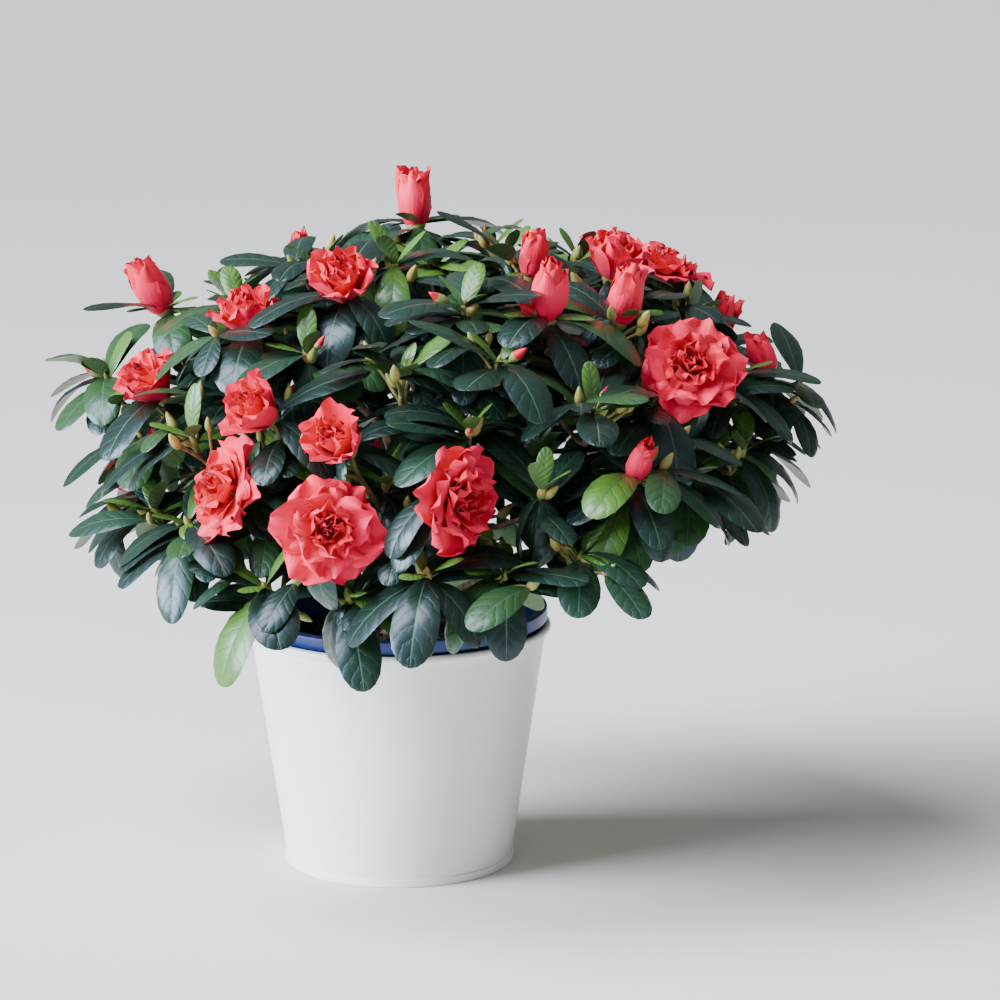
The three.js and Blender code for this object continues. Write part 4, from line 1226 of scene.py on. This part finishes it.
def petal(whorl, number, draw, bract):
    """One petal of a whorl about +Z: points, faces and their places along and across it, in metres."""
    count, length, width, tilts, wrap, ruffle, height = whorl[:7]
    angle = 2 * math.pi * (number + PETAL_STRAY * (draw() - 0.5)) / count
    length *= mm * between(PETAL_LENGTH_SHARES, draw())
    width *= mm * between(PETAL_WIDTH_SHARES, draw())
    phase, lean = 2 * math.pi * draw(), PETAL_LEAN * ruffle * (draw() - 0.5)
    radius, level, before = PETAL_ROOT, height * mm, 0
    points, places = [], []
    for along, share in zip(PETAL_ALONG, PETAL_WIDTHS):
        tilt = tilts[0] * (1 - along) ** 2 + 2 * tilts[1] * along * (1 - along) + tilts[2] * along**2
        tilt = math.radians(tilt + lean * along)
        radius += math.sin(tilt) * (along - before) * length
        level += math.cos(tilt) * (along - before) * length
        before = along
        half = (1 - along**1.6 * 0.96 if bract else share) * width / 2
        out = max(radius, 0.5 * mm)
        for a in PETAL_ACROSS:
            # A broad wave and a frill across the petal, its cupped sides, and its edge rolled back.
            edge = along**2 * (0.3 + 0.7 * abs(a))
            wave = ruffle * 0.09 * half * edge * math.sin(4.2 * a + phase + 2 * along)
            wave += ruffle * 0.072 * width * along**4 * math.sin(6.1 * a - 3 * phase)
            wave += 0.12 * half * a * a
            back = 0.3 * half * a * a * along**3 + 0.07 * length * a * a * along**6
            back += ruffle * 0.036 * width * edge * math.sin(5.7 * a + phase)
            bent = a * half / max(out, 2.2 * mm)
            ring = Vector((math.cos(bent), math.sin(bent))) * out
            x, y = ring * wrap + Vector((out, a * half)) * (1 - wrap)
            x += 0.09 * half * a * wrap - wave * math.cos(tilt) - back * math.sin(tilt)
            z = level + wave * math.sin(tilt) - back * math.cos(tilt)
            x, y = x * math.cos(angle) - y * math.sin(angle), x * math.sin(angle) + y * math.cos(angle)
            points.append(Vector((x, y, z)))
            places.append((along, (a + 1) / 2))
    return close_sheet(points, places, len(PETAL_ALONG), len(PETAL_ACROSS))


def close_sheet(points, places, rows, columns):
    """A grid of points made a thin closed sheet: its back lies behind it and shares its border."""
    corners = [i * columns + j for i in range(rows - 1) for j in range(columns - 1)]
    faces = [(low, low + columns, low + columns + 1, low + 1) for low in corners]
    behind = list(range(rows * columns))
    for i in range(1, rows - 1):
        for here in range(i * columns + 1, (i + 1) * columns - 1):
            along = points[here + columns] - points[here - columns]
            across = points[here + 1] - points[here - 1]
            behind[here] = len(points)
            points.append(points[here] + along.cross(across).normalized() * PETAL_THICKNESS)
            places.append(places[here])
    return points, faces + [tuple(behind[i] for i in reversed(face)) for face in faces], places


def petal_finish(name, colour):
    """Azalea petal: silky and matt, with fine veins along it, and a little light comes through it."""
    silk = {"Sheen_Weight": 0.08, "Specular_IOR_Level": 0.3}
    depth = {"Subsurface_Weight": 0.06, "Subsurface_Scale": 3 * mm}
    finish, tree, shader = new_finish(name, colour, 0.5, **silk, **depth)
    blade = add_node(tree, "ShaderNodeUVMap", uv_map="blade").outputs["UV"]
    spread = add_node(tree, "ShaderNodeMapping", {"Vector": blade, "Scale": (2.2, 16, 1)}).outputs["Vector"]
    veins = add_node(tree, "ShaderNodeTexNoise", {"Vector": spread, "Scale": 1, "Detail": 3}).outputs["Fac"]
    relief = {"Height": veins, "Strength": 0.5, "Distance": 0.8 * mm}
    add_node(tree, "ShaderNodeBump", relief, shader.inputs["Normal"])
    return finish


def small_bud(foot, facing, stalk, length, coral_from):
    """A small side bud on its stalk: a spindle whose lower scales are green and whose tip is coral."""
    outline = [(0, 0), (0.75 * mm, 0.4 * mm), (0.65 * mm, stalk)]
    outline += [(r * SIDE_BUD_PLUMPNESS * length, stalk + z * length) for r, z in SIDE_BUD_SHARES]
    points, faces = turn_on_lathe(outline, BUD_SIDES)
    turn = UP.rotation_difference(facing)
    coral_over = stalk + coral_from * length
    coral = [max(points[i].z for i in face) > coral_over for face in faces]
    finishes = [SIDE_BUD_CORAL if over else len(PETAL_REDS_WITH_PAINTED_SHADE) for over in coral]
    return [foot + turn @ p for p in points], faces, finishes


def add_petals(joined, shoot, whorl, turned, draw, bract=False):
    """Adds a whorl of petals or bracts on a shoot's head, turned the way that the head faces."""
    turn = UP.rotation_difference(shoot.face)
    spin = Quaternion(UP, math.radians(shoot.spin))
    for number in range(whorl[0]):
        points, faces, places = petal(whorl, number + turned, draw, bract)
        points = [shoot.foot + turn @ (spin @ p) * shoot.size for p in points]
        joined.add(points, faces, [whorl[7]] * len(faces), places)


# Each petal finish takes one red; the darker inner ones hold painted shade.
petal_finishes = [petal_finish(f"petal_red_with_painted_shade_{k + 1}", colour) for k, colour in enumerate(PETAL_REDS_WITH_PAINTED_SHADE)]
# The bracts take the leaf finish, and with it its painted cool-blue reflection.
bract_finish = leaf_finish("bract_green", "8f9a55", 0.5, 0.2 * mm)
petal_meshes = {"open_flowers": JoinedMesh(), "flower_buds": JoinedMesh()}
bracts = JoinedMesh()
for shoot in shoots:
    draw = stream("petals", shoot.index)
    for _ in range(0 if shoot.head == "bloom" else int(SIDE_BUDS[shoot.head] * draw() + 0.5)):
        out = beside_axis(shoot.axis, draw())
        facing = (shoot.axis + out * between(SIDE_BUD_SPREAD, draw())).normalized()
        sizes = [between(limits, draw()) for limits in (SIDE_BUD_STALK, SIDE_BUD_LENGTH, SIDE_BUD_CORAL_FROM)]
        side_bud = small_bud(shoot.foot, facing, *sizes)
        if not hides_flower(side_bud[0]):
            petal_meshes["flower_buds"].add(*side_bud)
    if shoot.head != "tip":
        joined = petal_meshes["flower_buds" if shoot.head == "bud" else "open_flowers"]
        for k, whorl in enumerate(WHORLS[shoot.head]):
            add_petals(joined, shoot, whorl, 0.5 * k, draw)
        add_petals(bracts, shoot, BRACTS, 0, draw, bract=True)
for name, joined in petal_meshes.items():
    flowers = joined.piece(name, petal_finishes + [bract_finish], sharp_from=70)
    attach(flowers, "root")
bract_piece = bracts.piece("flower_bracts", [bract_finish], sharp_from=70)
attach(bract_piece, "root")


# Leaf buds: small, pointed and yellow green, of a few scales. They stand at every leafy tip, at the end of
# every side spur and beside every head. One is shaped once and set on its points by Geometry Nodes.
LEAF_BUD_LENGTH = 11 * mm
LEAF_BUD_RADIUS = 2.4 * mm
LEAF_BUD_SHARES = ((0, 0), (0.62, 0.08), (0.96, 0.26), (1, 0.42), (0.78, 0.66), (0.36, 0.88), (0, 1))
LEAF_BUD_SINK = 2 * mm
LEAF_BUD_BESIDE = 1.6 * mm
LEAF_BUD_BELOW = 1 * mm
LEAF_BUD_SPREAD = 0.6
LEAF_BUD_CLEAR = (0.3, 0.7, 1.1, 1.5)
LEAF_BUD_VALUES = {"Smallest Share": 0.7, "Seed": 5}


def buds_tree(bud_shape, finish):
    """Geometry nodes: a bud on every point of a mesh, turned the way that point faces, sized by chance."""
    kinds = {"Points": "Geometry", "Smallest Share": "Float", "Seed": "Int"}
    tree, given = new_tree("buds_on_points", kinds, "Buds")
    shape = add_node(tree, "GeometryNodeObjectInfo", {"Object": bud_shape}).outputs["Geometry"]
    facing = add_node(tree, "GeometryNodeInputNamedAttribute", {"Name": "facing"}, data_type="FLOAT_VECTOR")
    way = {"Vector": facing.outputs["Attribute"]}
    turned = add_node(tree, "FunctionNodeAlignRotationToVector", way, axis="Z").outputs["Rotation"]
    sizes = {2: given["Smallest Share"], 3: 1.1, "Seed": given["Seed"]}
    size = add_node(tree, "FunctionNodeRandomValue", sizes, data_type="FLOAT").outputs[1]
    stood = {"Points": given["Points"], "Instance": shape, "Rotation": turned, "Scale": size}
    buds = add_node(tree, "GeometryNodeInstanceOnPoints", stood).outputs["Instances"]
    return end_tree(tree, buds, finish, "Buds")


def add_leaf_bud(foot, facing):
    """Marks a leaf bud's place, unless it would stand in a flower."""
    if not hides_flower([foot + facing * (LEAF_BUD_LENGTH * share) for share in LEAF_BUD_CLEAR]):
        bud_spots.append(foot)
        bud_facings.append(facing)


bud_spots, bud_facings = [], []
for shoot in shoots:
    draw = stream("leaf_buds", shoot.index)
    if shoot.head == "tip":
        add_leaf_bud(shoot.foot - shoot.axis * LEAF_BUD_SINK, shoot.axis)
    aside = beside_axis(shoot.axis, draw())
    beside = shoot.foot + aside * LEAF_BUD_BESIDE - shoot.axis * LEAF_BUD_BELOW
    add_leaf_bud(beside, (shoot.axis + aside * LEAF_BUD_SPREAD).normalized())
for spur in spurs:
    add_leaf_bud(spur.shoot.foot - spur.shoot.axis * LEAF_BUD_SINK, spur.shoot.axis)
bud_points = bpy.data.meshes.new("bud_points")
bud_points.from_pydata(bud_spots, [], [])
facing = bud_points.attributes.new("facing", "FLOAT_VECTOR", "POINT")
facing.data.foreach_set("vector", [value for way in bud_facings for value in way])

# Leaf bud scales: smooth and softly matt, green, with warmer straw-coloured patches of about 5 mm.
SCALE_TONES = ((0.4, "79893f"), (0.66, "b59a52"))
scales = mottled_finish("bud_scale_green", "8a9448", 0.55, (5 * mm,) * 3, 2, SCALE_TONES)
bud_outline = [(r * LEAF_BUD_RADIUS, z * LEAF_BUD_LENGTH) for r, z in LEAF_BUD_SHARES]
bud_shape = place_mesh("bud_shape", *turn_on_lathe(bud_outline, BUD_SIDES), [scales])
leaf_buds = grow_with_nodes("leaf_buds", bud_points, buds_tree(bud_shape, scales), LEAF_BUD_VALUES, scales)
bpy.data.objects.remove(bud_shape)
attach(leaf_buds, "root")


# Floor: a plain pale sheet of studio paper, wide enough to reach past every view. It is not part of the
# plant.
FLOOR_RADIUS = 16
FLOOR_SIDES = 64

turns = [2 * math.pi * i / FLOOR_SIDES for i in range(FLOOR_SIDES)]
points = [(FLOOR_RADIUS * math.cos(turn), FLOOR_RADIUS * math.sin(turn), 0) for turn in turns]
paper = new_finish("pale_studio_paper", "e3dfd9", 0.85)[0]
floor = place_mesh("studio_floor", points, [tuple(range(FLOOR_SIDES))], [paper])


# Light: a broad soft window far to the left gives the sheen on the leaves, whose cool blue is also painted
# into their reflections, a panel lights the crown from above, a weak warm one stands to the right, and a
# pale sky fills the shade.
def set_light(name, kind, place, aim, power, colour, **settings):
    lamp = bpy.data.lights.new(name, kind)
    lamp.energy = power
    lamp.color = linear(colour)[:3]
    for setting, value in settings.items():
        setattr(lamp, setting, value)
    holder = add_object(name, lamp)
    holder.location = place
    holder.rotation_euler = (Vector(aim) - Vector(place)).to_track_quat("-Z", "Y").to_euler()


set_light("window_left", "SUN", (-4, -1.3, 1.9), (0, 0, 0.16), 11.5, "e9f0ff", angle=math.radians(36))
set_light("panel_above", "AREA", (-0.8, -0.4, 1.8), (0, 0, 0.2), 62, "f2f5ff", size=1)
set_light("fill_right", "AREA", (1.5, -1.4, 0.9), (0, 0, 0.18), 2, "fff2e4", size=1.2)
world = bpy.data.worlds.new("pale_sky")
world.use_nodes = True
sky = world.node_tree.nodes["Background"].inputs
sky["Color"].default_value = linear("eceff3")
sky["Strength"].default_value = 0.3
bpy.context.scene.world = world


# Camera: at the photo's place, a little above the plant and some two metres away, level across.
CAMERA_DISTANCE = 2.2
CAMERA_PITCH = math.radians(12.22)
CAMERA_TARGET = Vector((0.0505, 0, 0.1823))
CAMERA_LENS_MM = 160.3
CAMERA_SENSOR_MM = 36

lens = bpy.data.cameras.new("camera")
lens.lens = CAMERA_LENS_MM
lens.sensor_width = CAMERA_SENSOR_MM
camera = add_object("camera", lens)
back = Vector((0, -math.cos(CAMERA_PITCH), math.sin(CAMERA_PITCH)))
camera.location = CAMERA_TARGET + back * CAMERA_DISTANCE
camera.rotation_euler = (math.pi / 2 - CAMERA_PITCH, 0, 0)
bpy.context.scene.camera = camera

bpy.context.view_layer.update()
